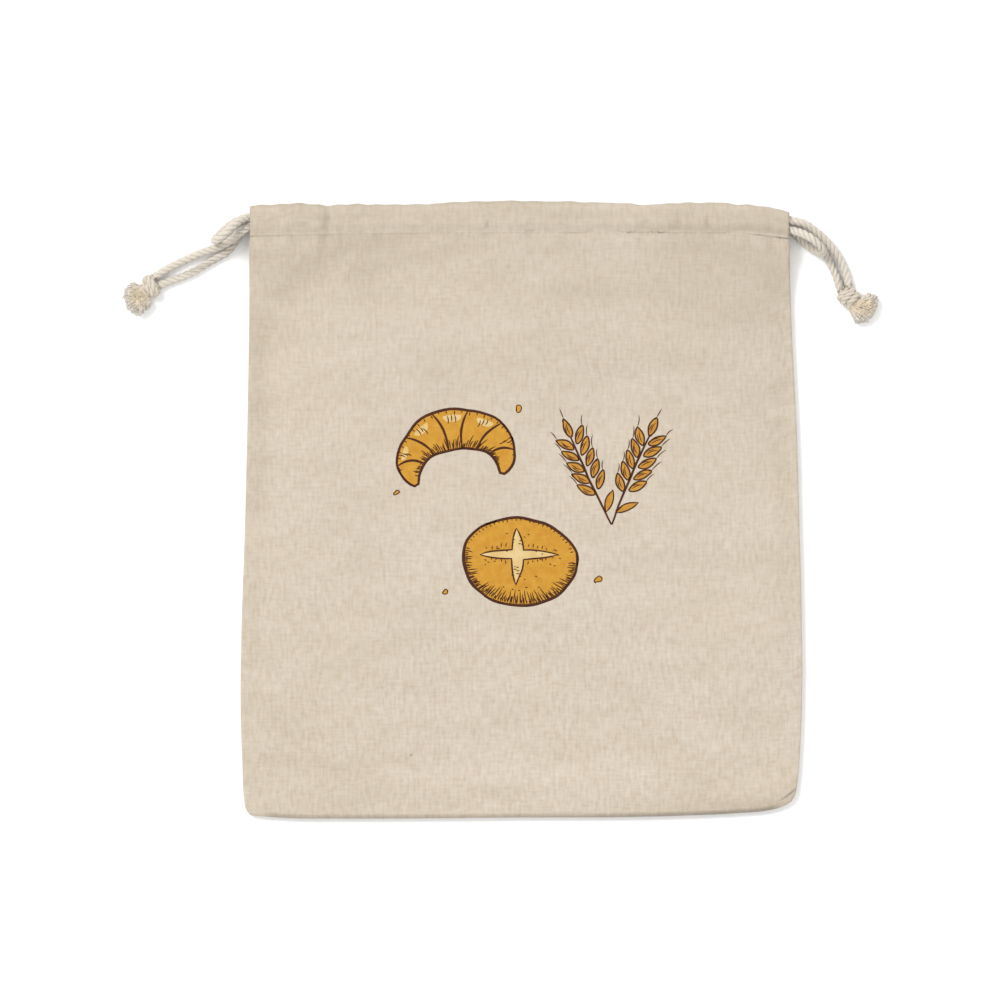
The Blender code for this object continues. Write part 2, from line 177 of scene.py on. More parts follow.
def tunnel_height(side, x):
    """The height of the cords' middles in the front (1) or the back (-1) tunnel."""
    if side < 0:
        return np.zeros_like(x) + BACK_TUNNEL
    return FRONT_TUNNEL + MOUTH_GAPE * gape_share(x)


def line_distance(line, x, y):
    """How far places are from a line of straight stretches."""
    nearest = np.inf
    for (x0, y0), (x1, y1) in zip(line, line[1:]):
        run, rise = x1 - x0, y1 - y0
        share = ((x - x0) * run + (y - y0) * rise) / (run * run + rise * rise)
        share = np.clip(share, 0.0, 1.0)
        nearest = np.minimum(nearest, np.hypot(x - x0 - run * share, y - y0 - rise * share))
    return nearest


def bell(distance, reach):
    """1 at no distance, and less and less further off: about a third at the reach."""
    return np.exp(-((distance / reach) ** 2))


def swells(rows, x, y):
    """The soft rises and troughs of rows of a line, its reach to its sides and its height."""
    return sum(height * bell(line_distance(line, x, y), reach) for line, reach, height in rows)


def past_stitches(points):
    """How far points are up from the tunnel's stitches."""
    return points[..., 1] - along(STITCH_LINE, points[..., 0])


def front_height(x, y):
    """The front cloth's middle surface below the stitches, from the tunnel down to the seams."""
    stitches = along(STITCH_LINE, x)
    bottom = along(BOTTOM_EDGE, x)
    rise = tunnel_height(1, x) + LAYER / 2 - SEAM_MIDDLE
    down = np.maximum(stitches - y, 0.0)
    share = np.minimum(down / (stitches - bottom), 1.0)
    at_side = SEAM_MIDDLE + rise * (1 - smooth(down / SIDE_DROP))
    in_middle = SEAM_MIDDLE + rise * (1 - share)
    crown = opening(np.minimum(x - along(LEFT_EDGE, y), along(RIGHT_EDGE, y) - x) - EDGE_INSET)
    lift = 1 - np.exp(-np.maximum(y - bottom - EDGE_INSET, 0.0) / BOTTOM_RUN)
    height = at_side + (in_middle - at_side) * crown * lift
    return height - swells(TROUGHS, x, y) * crown * smooth(down / HEM_PAST_STITCHES / 2)


def panel_height(side, x, y):
    return front_height(x, y) if side > 0 else np.full(np.shape(x), BACK_MIDDLE)


SEAM_LIFT = 0.8
LIFT_DOWN, LIFT_UP = 11.0, 2.2
BACK_DENT = 0.34
DENT_REACH = 2.4
SEAM_PUFF = 0.3
# The outer face of the front tunnel rises more gently from the stitches than the solid does.
OUTER_RISE = ((0.0, 0.224), (1.2, 0.40), (2.6, 0.74), (4.4, 0.97), (6.0, 1.0))


def seam_lift(past):
    """How far the front's layers ride up at the tunnel's stitches: past is the way over them."""
    return SEAM_LIFT * bell(past, np.where(past < 0, LIFT_DOWN, LIFT_UP))


# ---- camera, light and floor

CAMERA_LENS = 300.0
SENSOR = 36.0
VIEW_WIDTH = 0.5005
VIEW_MIDDLE = (-0.0105, 0.0050)
AIM_HEIGHT = 0.006
FLOOR_SIZE = 30.0
PAPER_WHITE = (0.93, 0.93, 0.93, 1.0)


def with_settings(thing, **settings):
    """The same thing, with these of its values set."""
    for key, value in settings.items():
        setattr(thing, key, value)
    return thing


def make_camera():
    """Straight down on the bag, from far enough that the view is nearly flat."""
    distance = VIEW_WIDTH * CAMERA_LENS / SENSOR
    bpy.ops.object.camera_add(location=(*VIEW_MIDDLE, AIM_HEIGHT + distance), rotation=(0, 0, 0))
    camera = with_settings(bpy.context.object, name="camera")
    with_settings(
        camera.data, lens=CAMERA_LENS, sensor_width=SENSOR, clip_start=0.01, clip_end=50.0,
    )
    bpy.context.scene.camera = camera


def make_light(name, place, size, power):
    """A square soft light that looks at the bag's middle."""
    bpy.ops.object.light_add(type="AREA", location=place)
    light = with_settings(bpy.context.object, name=name, rotation_mode="QUATERNION")
    with_settings(light.data, size=size, energy=power)
    light.rotation_quaternion = (-Vector(place)).to_track_quat("-Z", "Y")


def make_studio():
    """A plain white floor under soft light from the upper left."""
    bpy.ops.mesh.primitive_plane_add(size=FLOOR_SIZE, location=(0, 0, 0))
    floor = with_settings(bpy.context.object, name="floor")
    floor.data.materials.append(Finish("white_paper", 0.9, specular=0.1).finish(PAPER_WHITE))
    world = bpy.data.worlds.new("studio")
    world.use_nodes = True
    sky = world.node_tree.nodes["Background"]
    sky.inputs["Color"].default_value = (1.0,) * 4
    sky.inputs["Strength"].default_value = 1.0
    bpy.context.scene.world = world
    make_light("key", (-6.9, 6.3, 11.7), 4.2, 1230.0)
    make_light("fill", (6.6, -5.1, 13.2), 9.0, 170.0)
    with_settings(bpy.context.scene.view_settings, view_transform="Standard", look="None")


# ---- materials

STUDIO_LIGHT = 1.35


def linear(colour):
    """A colour given as it looks in the studio, in steps of 255, as the shader wants it."""
    shares = [step / 255 for step in colour]
    return tuple(
        (s / 12.92 if s <= 0.04045 else ((s + 0.055) / 1.055) ** 2.4) / STUDIO_LIGHT
        for s in shares
    )


class Finish:
    """A material whose nodes are wired by short calls."""

    def __init__(self, name, roughness, sheen=0.0, specular=0.25):
        self.material = bpy.data.materials.new(name)
        self.material.use_nodes = True
        self.tree = self.material.node_tree
        self.shader = self.tree.nodes["Principled BSDF"]
        for key, value in (
            ("Roughness", roughness), ("Specular IOR Level", specular), ("Sheen Weight", sheen),
            ("Sheen Roughness", 0.5),
        ):
            self.shader.inputs[key].default_value = value

    def node(self, kind, inputs=(), **settings):
        made = with_settings(self.tree.nodes.new(kind), **settings)
        for key, value in dict(inputs).items():
            self.join(value, made.inputs[key])
        return made

    def join(self, value, socket):
        if isinstance(value, bpy.types.NodeSocket):
            self.tree.links.new(value, socket)
        else:
            socket.default_value = value

    def math(self, operation, *values):
        return self.node("ShaderNodeMath", enumerate(values), operation=operation).outputs[0]

    def times(self, *values):
        return self.math("MULTIPLY", *values)

    def plus(self, *values):
        return self.math("ADD", *values)

    def times_plus(self, *values):
        return self.math("MULTIPLY_ADD", *values)

    def vector(self, *parts):
        return self.node("ShaderNodeCombineXYZ", enumerate(parts)).outputs[0]

    def parts(self, vector):
        return self.node("ShaderNodeSeparateXYZ", {0: vector}).outputs[:]

    def attribute(self, name):
        """The three values that each point of a piece carries for its pattern."""
        return self.parts(self.node("ShaderNodeAttribute", attribute_name=name).outputs["Vector"])

    def own_place(self):
        """Object coordinates in millimetres."""
        place = self.parts(self.node("ShaderNodeTexCoord").outputs["Object"])
        return [self.times(part, 1 / MM) for part in place]

    def noise(self, x, y, size_x, size_y, detail=2.0, roughness=0.5, z=0.0):
        """Soft noise whose grains are about size_x by size_y millimetres."""
        place = self.vector(self.math("DIVIDE", x, size_x), self.math("DIVIDE", y, size_y), z)
        return self.node("ShaderNodeTexNoise", {
            "Vector": place, "Scale": 1.0, "Detail": detail, "Roughness": roughness,
        }).outputs["Fac"]

    def remap(self, value, low, high, to_low=0.0, to_high=1.0):
        return self.node("ShaderNodeMapRange", {
            "Value": value, "From Min": low, "From Max": high, "To Min": to_low, "To Max": to_high,
        }).outputs[0]

    def mix(self, share, first, second, blend="MIX"):
        made = self.node("ShaderNodeMix", data_type="RGBA", blend_type=blend)
        for value, socket in ((share, 0), (first, 6), (second, 7)):
            if isinstance(value, tuple):
                value = (*value, 1.0)
            self.join(value, made.inputs[socket])
        return made.outputs[2]

    def bump(self, height, distance, strength, normal=None):
        made = self.node("ShaderNodeBump", {
            "Height": height, "Distance": distance * MM, "Strength": strength,
        })
        if normal is not None:
            self.join(normal, made.inputs["Normal"])
        return made.outputs[0]

    def finish(self, colour, normal=None):
        self.join(colour, self.shader.inputs["Base Color"])
        if normal is not None:
            self.join(normal, self.shader.inputs["Normal"])
        return self.material


THREAD = 0.62
BRUSH_PALE = (252, 244, 230)
CORE_HUSK = (164, 134, 90)
LINEN_BASE = (213, 200, 182)
LINEN_DARK = (201, 186, 165)
LINEN_PALE = (223, 212, 196)
LINEN_CAST = (206, 190, 164)
# Small dark marks of the front, painted shade of the bottom right corner's crease and of the
# tunnel's puckers, and two specks lower on the cloth: x and y on the cut cloth, turn, half length,
# half width, depth.
SPECKS_AND_CREASE_SHADE = (
    (-55.2, -121.8, 20.0, 1.1, 0.8, 2.2), (-38.2, -102.3, 80.0, 1.6, 1.2, 0.6),
    (133.6, -141.2, 35.0, 5.6, 0.75, 2.6), (-97.6, 146.5, 84.0, 7.5, 2.3, 0.75),
    (-110.5, 145.5, 4.0, 5.0, 1.5, 0.6), (-17.3, 144.2, 70.0, 2.6, 1.0, 1.0),
    (4.2, 140.9, 10.0, 3.4, 1.1, 1.1), (-128.0, 140.2, 3.0, 8.0, 3.4, 0.3),
    (92.0, 147.6, 88.0, 3.6, 1.2, 0.6),
)


def woven(look, x, y):
    """A plain weave at these lengths: its height, and the tone of the thread on top."""
    wander_x = look.times(look.noise(x, y, 9.0, 3.0, z=3.1), 0.5)
    wander_y = look.times(look.noise(x, y, 3.0, 9.0, z=7.7), 0.5)
    across = look.math("DIVIDE", look.plus(x, wander_x), THREAD)
    up = look.math("DIVIDE", look.plus(y, wander_y), THREAD)

    def thread(over, under, phase):
        number = look.math("FLOOR", over)
        rounded = look.math("ABSOLUTE", look.math("SINE", look.times(over, math.pi)))
        swing = look.times_plus(look.plus(under, number), math.pi, phase)
        wave = look.times_plus(look.math("COSINE", swing), 0.4, 0.6)
        return look.times(look.math("POWER", rounded, 0.7), wave)

    warp = thread(across, up, -math.pi / 2)
    weft = thread(up, across, math.pi / 2)
    height = look.math("MAXIMUM", warp, weft)
    warp_tone = look.noise(x, y, 0.8, 9.0, roughness=0.6, z=1.3)
    weft_tone = look.noise(x, y, 9.0, 0.8, roughness=0.6, z=5.9)
    on_top = look.math("GREATER_THAN", warp, weft)
    under = look.math("SUBTRACT", 1.0, on_top)
    own = look.plus(look.times(on_top, warp_tone), look.times(under, weft_tone))
    slubs_up = look.noise(x, y, 1.7, 6.0, detail=1.0, z=21.0)
    slubs_across = look.noise(x, y, 5.0, 1.5, detail=1.0, z=27.0)
    slubs = look.times_plus(slubs_up, 0.62, look.times(slubs_across, 0.38))
    tone = look.times_plus(own, 0.35, look.times(slubs, 0.65))
    # The weave is a little crisper towards the bottom, where the bag is handled less.
    crisp = look.remap(y, -150.0, 150.0, 0.99, 0.70)
    return height, look.times_plus(look.math("SUBTRACT", tone, 0.5), crisp, 0.5)


def linen_colour(look, x, y, height, tone):
    """Undyed yarn: thread by thread lighter and darker, with slubs, and a soft cast over all."""
    colour = look.mix(look.remap(tone, 0.36, 0.50), linear(LINEN_DARK), linear(LINEN_BASE))
    colour = look.mix(look.remap(tone, 0.50, 0.66), colour, linear(LINEN_PALE))
    cast = look.remap(look.noise(x, y, 70.0, 55.0, z=11.0), 0.35, 0.65, 0.0, 0.14)
    colour = look.mix(cast, colour, linear(LINEN_CAST))
    # Painted shade: the low parts of the weave, between the threads, are a little darker.
    return dimmed(look, colour, look.remap(height, 0.15, 0.55, 0.92, 1.0), 1.05, 1.15)


def dimmed(look, colour, share, green, blue):
    """The colour times a share, whose green and blue go by these powers of it."""
    shares = look.vector(share, look.math("POWER", share, green), look.math("POWER", share, blue))
    return look.mix(1.0, colour, shares, blend="MULTIPLY")


def mark(look, x, y, middle_x, middle_y, turn, half_long, half_wide, depth):
    """A soft small mark on the cloth: depth in its middle and nothing round it."""
    c, s = math.cos(math.radians(turn)), math.sin(math.radians(turn))
    dx, dy = look.math("SUBTRACT", x, middle_x), look.math("SUBTRACT", y, middle_y)
    far = look.times_plus(dx, c / half_long, look.times(dy, s / half_long))
    off = look.times_plus(dy, c / half_wide, look.times(dx, -s / half_wide))
    return look.remap(look.plus(look.times(far, far), look.times(off, off)), 0.0, 1.2, depth, 0.0)


def woven_bump(look, x, y, height, tone):
    """The threads' relief, and softer lumps under it."""
    fine = look.bump(look.times_plus(tone, 0.9, height), 0.10, 0.7)
    soft = look.noise(x, y, 6.0, 6.0, detail=3.0, z=17.0)
    return look.bump(soft, 0.35, 0.5, normal=fine)


def linen(name, specks_and_crease_shade=()):
    """The bag's cloth, woven along the lengths that the cut cloth carries, and darkened by the
    painted shade that it carries too.
    """
    look = Finish(name, 0.92, sheen=0.12)
    # The third value of the cut cloth is its painted shade, and painted light where it is below 0.
    x, y, shade = look.attribute("cut")
    height, tone = woven(look, x, y)
    colour = linen_colour(look, x, y, height, tone)
    # The painted shade of creases and puckers, and the specks, add to the cloth's shade.
    for spot in specks_and_crease_shade:
        shade = look.plus(shade, mark(look, x, y, *spot))
    blotch = look.noise(x, y, 34.0, 15.0, roughness=0.55, z=41.0)
    shade = look.plus(shade, look.remap(blotch, 0.33, 0.67, -0.2, 0.2))
    # The tunnel's doubled cloth is a little deeper than the single cloth below its stitches.
    doubled = look.remap(look.times_plus(blotch, 3.0, y), 136.5, 141.5, 0.0, 0.1)
    shade = look.plus(shade, doubled)
    dim = look.times_plus(shade, -0.15, 1.0)
    # Light painted shade is warm; the deep painted shade of the rim and of creases is grey.
    green, blue = (look.remap(shade, 0.9, 2.2, warm, 1.0) for warm in (1.08, 1.32))
    colour = dimmed(look, colour, look.math("MAXIMUM", dim, 0.3), green, blue)
    return look.finish(colour, woven_bump(look, x, y, height, tone))


def printed(name, ink, deep, cover):
    """Ink on the linen: it fills the threads, misses some of the gaps, and varies in depth."""
    look = Finish(name, 0.82, sheen=0.05)
    x, y, _ = look.own_place()
    height, tone = woven(look, x, y)
    bare = linen_colour(look, x, y, height, tone)
    pool = look.remap(look.noise(x, y, 4.0, 4.0, detail=4.0, roughness=0.6, z=2.2), 0.35, 0.68)
    dyed = look.mix(pool, linear(ink), linear(deep))
    patchy = look.noise(x, y, 1.1, 1.1, detail=3.0, roughness=0.7, z=8.8)
    covered = look.times_plus(height, 0.25, look.remap(patchy, 0.25, 0.6, cover, 1.0))
    colour = look.mix(look.math("MINIMUM", covered, 1.0), bare, dyed)
    return look.finish(colour, woven_bump(look, x, y, height, tone))


def twisted(name, pale, deep, yarns=6.0, lay=3.6, core=None, relief=0.12):
    """Cotton yarn: fine plies that wind round each strand, with painted shade where the strands
    meet.
    """
    look = Finish(name, 0.88, sheen=0.2)
    length, angle, tone = look.attribute("lay")
    turn = look.times_plus(length, 2 * math.pi / lay, look.times(angle, yarns))
    ply = look.math("SINE", turn)
    fibre = look.noise(length, angle, 1.5, 0.22, detail=3.0, roughness=0.65)
    colour = look.mix(look.remap(fibre, 0.3, 0.7), linear(deep), linear(pale))
    # Painted shade: the yarn is darker near the rope's middle, in the grooves where the strands
    # meet.
    groove_shade = look.remap(tone, 0.5, 0.95, 0.8, 1.0)
    if core is not None:
        # In a knot's brush the tone is under 0: a little in its heart, and -1 at the tips.
        brush = look.remap(look.times(tone, -1.0), 0.2, 0.75, 1.0, 0.0)
        in_brush = look.math("LESS_THAN", tone, 0.0)
        colour = look.mix(look.times(in_brush, 0.7), colour, linear(BRUSH_PALE))
        colour = look.mix(look.times(brush, in_brush), colour, linear(core))
        x, y, _ = look.own_place()
        husk = look.remap(look.noise(x, y, 1.5, 1.5, detail=1.0, z=3.0), 0.56, 0.68, 0.0, 0.6)
        husk = look.times(husk, look.times(brush, in_brush))
        colour = look.mix(husk, colour, linear(CORE_HUSK))
        # A knot's brush gets no painted groove shade.
        groove_shade = look.math("MAXIMUM", groove_shade, in_brush)
    colour = dimmed(look, colour, groove_shade, 1.1, 1.3)
    height = look.times_plus(ply, 0.5, fibre)
    return look.finish(colour, look.bump(height, relief, 0.8))


# ---- pieces

def piece_from(name, verts, faces, finish, key, lengths):
    """A mesh piece from points in millimetres, with the lengths that its pattern follows."""
    mesh = bpy.data.meshes.new(name)
    mesh.from_pydata((verts * MM).tolist(), [], faces)
    carried = mesh.attributes.new(key, "FLOAT_VECTOR", "POINT")
    carried.data.foreach_set("vector", np.asarray(lengths, np.float32).ravel())
    mesh.materials.append(finish)
    mesh.shade_smooth()
    piece = bpy.data.objects.new(name, mesh)
    bpy.context.collection.objects.link(piece)
    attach(piece, "root")
    return piece


def quads(low, high):
    """The faces between rows of points and the next rows, all given by number."""
    corners = [low[..., :-1], low[..., 1:], high[..., 1:], high[..., :-1]]
    return np.stack(corners, axis=-1).reshape(-1, 4)


def only(piece):
    """Makes this the one selected and active object."""
    bpy.ops.object.select_all(action="DESELECT")
    piece.select_set(True)
    bpy.context.view_layer.objects.active = piece


def modify(piece, kind, **settings):
    """Gives a piece a modifier with these settings, and applies it."""
    only(piece)
    modifier = with_settings(piece.modifiers.new(kind, kind), **settings)
    bpy.ops.object.modifier_apply(modifier=modifier.name)


# ---- drawcords

STRANDS = 3
STRAND_RADIUS = 1.1
STRAND_REACH = 1.0
ROPE_LAY = 10.2
STRAND_SIDES = 10
ROPE_STEP = 0.7
ROUTE_PLACES = 16


def curve_through(held, count):
    """A smooth curve through all the points but the outer two, of count places a stretch."""
    share = (np.arange(count) / count)[:, None]
    return np.vstack([
        0.5 * (
            2 * b + (c - a) * share + (2 * a - 5 * b + 4 * c - d) * share**2
            + (3 * b - a - 3 * c + d) * share**3
        )
        for a, b, c, d in zip(held, held[1:], held[2:], held[3:])
    ])


def smooth_route(points, step):
    """Points on a smooth curve through the given ones, a step apart."""
    held = np.vstack([2 * points[0] - points[1], points, 2 * points[-1] - points[-2]])
    return evenly(np.vstack([curve_through(held, ROUTE_PLACES), points[-1:]]), step)


def evenly(points, step):
    """Points on the same line, about a step apart."""
    reach = lengths_along(points)
    wanted = np.linspace(0.0, reach[-1], max(int(round(reach[-1] / step)), 2) + 1)
    return np.stack([np.interp(wanted, reach, axis) for axis in points.T], axis=1)


def lengths_along(points):
    return np.concatenate([[0.0], np.cumsum(np.linalg.norm(np.diff(points, axis=0), axis=1))])


def lane_points(side, lane, rightwards):
    """The route of a cord through a tunnel."""
    x = np.array(TUNNEL_STATIONS if rightwards else TUNNEL_STATIONS[::-1])
    return np.stack([x, along(STITCH_LINE, x) + LANES[lane], tunnel_height(side, x)], axis=1)


def cross_frames(path):
    """Two directions across a path that don't turn round it."""
    tangents = np.gradient(path, axis=0)
    tangents /= np.linalg.norm(tangents, axis=1)[:, None]
    normals = np.empty_like(path)
    normal = np.cross(tangents[0], (0.0, 0.0, 1.0))
    for place, tangent in enumerate(tangents):
        normal = normal - tangent * normal.dot(tangent)
        normal = normal / np.linalg.norm(normal)
        normals[place] = normal
    return normals, np.cross(tangents, normals)


class Tubes:
    """Round tubes gathered for one piece, each with the lengths of its yarn."""

    def __init__(self):
        self.verts, self.faces, self.lay, self.count = [], [], [], 0

    def add(self, path, radii, sides, tone=1.0, shift=0.0):
        """One tube. Its tone is a number, or one for each row, or a function of its points."""
        n1, n2 = cross_frames(path)
        angles = np.arange(sides) * 2 * math.pi / sides
        turn = angles[None, :, None]
        ring = np.cos(turn) * n1[:, None] + np.sin(turn) * n2[:, None]
        points = path[:, None] + ring * radii[:, None, None]
        lay = np.empty(points.shape)
        lay[..., 0] = (lengths_along(path) + shift)[:, None]
        lay[..., 1] = angles
        lay[..., 2] = tone(points) if callable(tone) else tone
        self.add_rings(points, lay)

    def add_rings(self, points, lay):
        """One closed skin over rows of rings."""
        number = self.count + np.arange(points[..., 0].size).reshape(points.shape[:2])
        closed = np.hstack([number, number[:, :1]])
        self.faces += quads(closed[:-1], closed[1:]).tolist()
        self.faces += [number[0, ::-1].tolist(), number[-1].tolist()]
        self.verts.append(points.reshape(-1, 3))
        self.lay.append(lay.reshape(-1, 3))
        self.count += number.size

    def piece(self, name, finish, slot):
        verts, lay = np.vstack(self.verts), np.vstack(self.lay)
        return piece_from(name, verts, self.faces, finish, "lay", lay)


def add_rope(tubes, path, cord=CORD, taper=1.0, uneven=1.0):
    """A rope of twisted strands, thinner where taper says; uneven is for the strands alone."""
    scale = cord / CORD
    reach = np.broadcast_to(STRAND_REACH * scale * taper, len(path))[:, None]
    radii = np.broadcast_to(STRAND_RADIUS * scale * taper * uneven, len(path))
    n1, n2 = cross_frames(path)
    turns = lengths_along(path) / (ROPE_LAY * scale)

    # How far points are out from the rope's middle: the painted shade in the grooves goes by it.
    def out_of_rope(points):
        return np.linalg.norm(points - path[:, None], axis=2) / (cord / 2)

    for strand in range(STRANDS):
        turn = 2 * math.pi * (turns + strand / STRANDS)[:, None]
        middle = path + reach * (np.cos(turn) * n1 + np.sin(turn) * n2)
        tubes.add(middle, radii, STRAND_SIDES, out_of_rope)


def make_drawcord(name, ends, turn, lane, rightwards, finish):
    """A cord from its knot through the front tunnel, round the turn and back through the other."""
    path = smooth_route(np.vstack([
        ends["front"], lane_points(1, lane, rightwards), turn,
        lane_points(-1, lane, not rightwards), ends["back"][::-1],
    ]), ROPE_STEP)
    length = lengths_along(path)
    rope = Tubes()
    add_rope(
        rope, path,
        uneven=1 + 0.03 * np.sin(length / 3.1) + 0.025 * np.sin(length / 7.3 + 1.0),
    )
    return rope.piece(name, finish, "cotton_cord"), path


# ---- knots

# Each knot: its place, the turn of its axis about +Z towards the cut ends, and its length and
# width. The brush of its cut ends: its middle ahead and aside of the knot's, its half length and
# half width, and how far it leans aside, in degrees. Its tufts reach further out: their direction
# in degrees from +X, how much further, and how wide they are.
KNOTS = {
    "left": {
        "centre": (-186.0, 111.6), "turn": -142.0, "size": (7.4, 12.4), "brush": (7.7, 0.3),
        "half": (6.9, 7.9), "lean": 4.0,
        "tufts": ((228.0, 0.16, 14.0), (264.0, 0.24, 26.0), (120.0, 0.05, 20.0)),
    },
    "right": {
        "centre": (163.9, 106.4), "turn": -52.0, "size": (9.4, 11.0), "brush": (8.9, 3.2),
        "half": (5.8, 8.0), "lean": 24.0,
        "tufts": ((32.0, 0.14, 18.0), (246.0, 0.10, 18.0), (318.0, -0.07, 22.0)),
    },
}
KNOT_MIDDLE = 4.15
BRUSH_HALF_HEIGHT = 3.9
KNOT_HEIGHT = 8.2
WRAP_TURNS = 2.1
WRAP_TUCK = 0.14
WRAP_CORD = 3.5
TAIL_STEP = 0.5
BRUSH_YARNS = 380
YARN_ROWS = 9
YARN_SIDES = 6
GOLDEN_ANGLE = 2.399963
LOOSE_EVERY = 23
YARN = 0.41
BRUSH_HEART = 0.84
HEART_ROWS, HEART_SIDES = 12, 26


def turned(points, degrees):
    """Points turned about +Z, against the clock as seen from above."""
    points = np.array(points, float)
    c, s = math.cos(math.radians(degrees)), math.sin(math.radians(degrees))
    x, y = points[..., 0], points[..., 1]
    points[..., 0], points[..., 1] = x * c - y * s, x * s + y * c
    return points


def knot_place(knot, points):
    """Points given along a knot's axis, across it and up, in the row's frame."""
    return turned(points, knot["turn"]) + (*knot["centre"], KNOT_MIDDLE)


def add_wrap(tubes, knot):
    """The turns that bind the two cords, wound round them and tucked in at both ends."""
    pitch, wide, high = ((size - WRAP_CORD) / 2 for size in (*knot["size"], KNOT_HEIGHT))
    turns = np.linspace(-WRAP_TUCK, WRAP_TURNS + WRAP_TUCK, 110)
    middle = turns / WRAP_TURNS - 0.5
    tuck = 1 - 0.6 * smooth(np.abs(middle) * 9 - 4.1)
    angle = 2 * math.pi * turns + 1.3
    ahead = -0.9 + pitch * (1.1 * np.tanh(2.2 * middle)) + 0.3 * np.sin(angle * 0.5)
    path = np.stack([ahead, wide * tuck * np.cos(angle), high * tuck * np.sin(angle)], axis=1)
    add_rope(tubes, evenly(knot_place(knot, path), TAIL_STEP), WRAP_CORD)


def flat_reach(points, middle, half):
    """How far out of a brush points are as seen from above: 1 at its rim."""
    return np.hypot(*((points[..., k] - middle[k]) / half[k] for k in (0, 1)))


def add_heart(tubes, knot, middle, half):
    """The tight mass of fibre inside a brush, which shows between the tips."""
    along_it = np.sin(np.linspace(-0.49, 0.49, HEART_ROWS) * math.pi)[:, None]
    round_it = np.linspace(0, 2 * math.pi, HEART_SIDES, endpoint=False)[None]
    lumps = (
        1 + 0.05 * np.sin(5 * round_it + 6 * along_it) + 0.04 * np.sin(9 * round_it - 8 * along_it)
    )
    wide = np.sqrt(1 - along_it**2) * lumps * BRUSH_HEART
    heart = np.stack([
        along_it * BRUSH_HEART + 0 * wide, wide * np.cos(round_it), wide * np.sin(round_it),
    ], axis=-1) * half
    heart = middle + turned(heart, knot["lean"])
    heart[..., 2] = np.maximum(heart[..., 2], 0.5 - KNOT_MIDDLE)
    tone = -0.12 - 0.6 * flat_reach(heart, middle, half) ** 2
    lay = np.stack([heart[..., 0], heart[..., 1], tone], axis=-1)
    tubes.add_rings(knot_place(knot, heart), lay)


def add_brush(tubes, knot, rng):
    """The cut ends of the two cords, their yarns opened into a round brush."""
    middle = np.array([*knot["brush"], -0.2])
    half = np.array([*knot["half"], BRUSH_HALF_HEIGHT])
    add_heart(tubes, knot, middle, half)
    share = np.linspace(0, 1, YARN_ROWS)[:, None]
    for number in range(BRUSH_YARNS):
        # A golden spiral over the brush's face spreads the tips evenly.
        spread = math.acos(1 - 1.6 * (number + 0.5) / BRUSH_YARNS) + rng.uniform(-0.1, 0.1)
        around = number * GOLDEN_ANGLE + rng.uniform(-0.3, 0.3)
        c, s = math.cos(around), math.sin(around)
        out = np.array([math.cos(spread), math.sin(spread) * c, math.sin(spread) * s])
        heading = math.degrees(math.atan2(out[1], out[0])) + knot["lean"] + knot["turn"]
        flat = math.hypot(out[0], out[1])
        stretch = 1 + flat * sum(
            more * bell((heading - at + 180.0) % 360.0 - 180.0, breadth)
            for at, more, breadth in knot["tufts"]
        )
        if number % LOOSE_EVERY == 5:
            stretch += 0.1 * flat
        stretched = half * out * rng.uniform(0.86, 1.03) * (stretch, stretch, 1.0)
        tip = middle + turned(stretched, knot["lean"])
        inner = min(spread / 1.6, 1.0) * rng.uniform(0.7, 1.0)
        start = np.array([2.6 + rng.uniform(-0.4, 0.4), 3.3 * inner * c, -0.4 + 1.7 * inner * s])
        knee = start + (middle - start) * (0.62, 0.35, 0.2) + (tip - middle) * (0.0, 0.35, 0.35)
        path = (1 - share) ** 2 * start + 2 * share * (1 - share) * knee + share**2 * tip
        path = path + np.sin(share * rng.uniform(3, 8) + around) * 0.16 * share * (0.4, 1, 0.6)
        path[:, 2] = np.clip(path[:, 2], -KNOT_MIDDLE + 0.4, 4.0)
        radii = YARN * rng.uniform(0.8, 1.15) * (1 + 0.15 * share[:, 0] ** 3)
        out_share = min(flat_reach(tip, middle, half), 1.0)
        tone = -(0.12 + 0.88 * out_share**1.8 * share**2)
        tubes.add(knot_place(knot, path), radii, YARN_SIDES, tone)


def make_knot(which, cord_path, finish, rng):
    """The two ends of a drawcord tied together: binding turns, the cords in them, cut ends."""
    knot = KNOTS[which]
    turn = math.radians(knot["turn"])
    tubes = Tubes()
    add_wrap(tubes, knot)
    for cord_end, before in ((cord_path[0], cord_path[3]), (cord_path[-1], cord_path[-4])):
        heading = (cord_end - before) / np.linalg.norm(cord_end - before)
        x, y = cord_end[:2] - knot["centre"]
        side = 1.0 if math.cos(turn) * y > math.sin(turn) * x else -1.0
        inner = knot_place(knot, [
            (-2.6, side * 2.0, -0.5), (0.6, side * 1.7, -0.2), (3.0, side * 1.8, -0.3),
            (4.6, side * 2.0, -0.6),
        ])
        path = smooth_route(np.vstack([cord_end, cord_end + heading * 1.4, inner]), TAIL_STEP)
        share = np.linspace(0, 1, len(path))
        add_rope(tubes, path, taper=1 - 0.16 * np.sin(np.clip(share * 1.4, 0, 1) * math.pi))
    add_brush(tubes, knot, rng)
    return tubes.piece(which + "_knot", finish, "cotton_knot")


# ---- the two panels of cloth

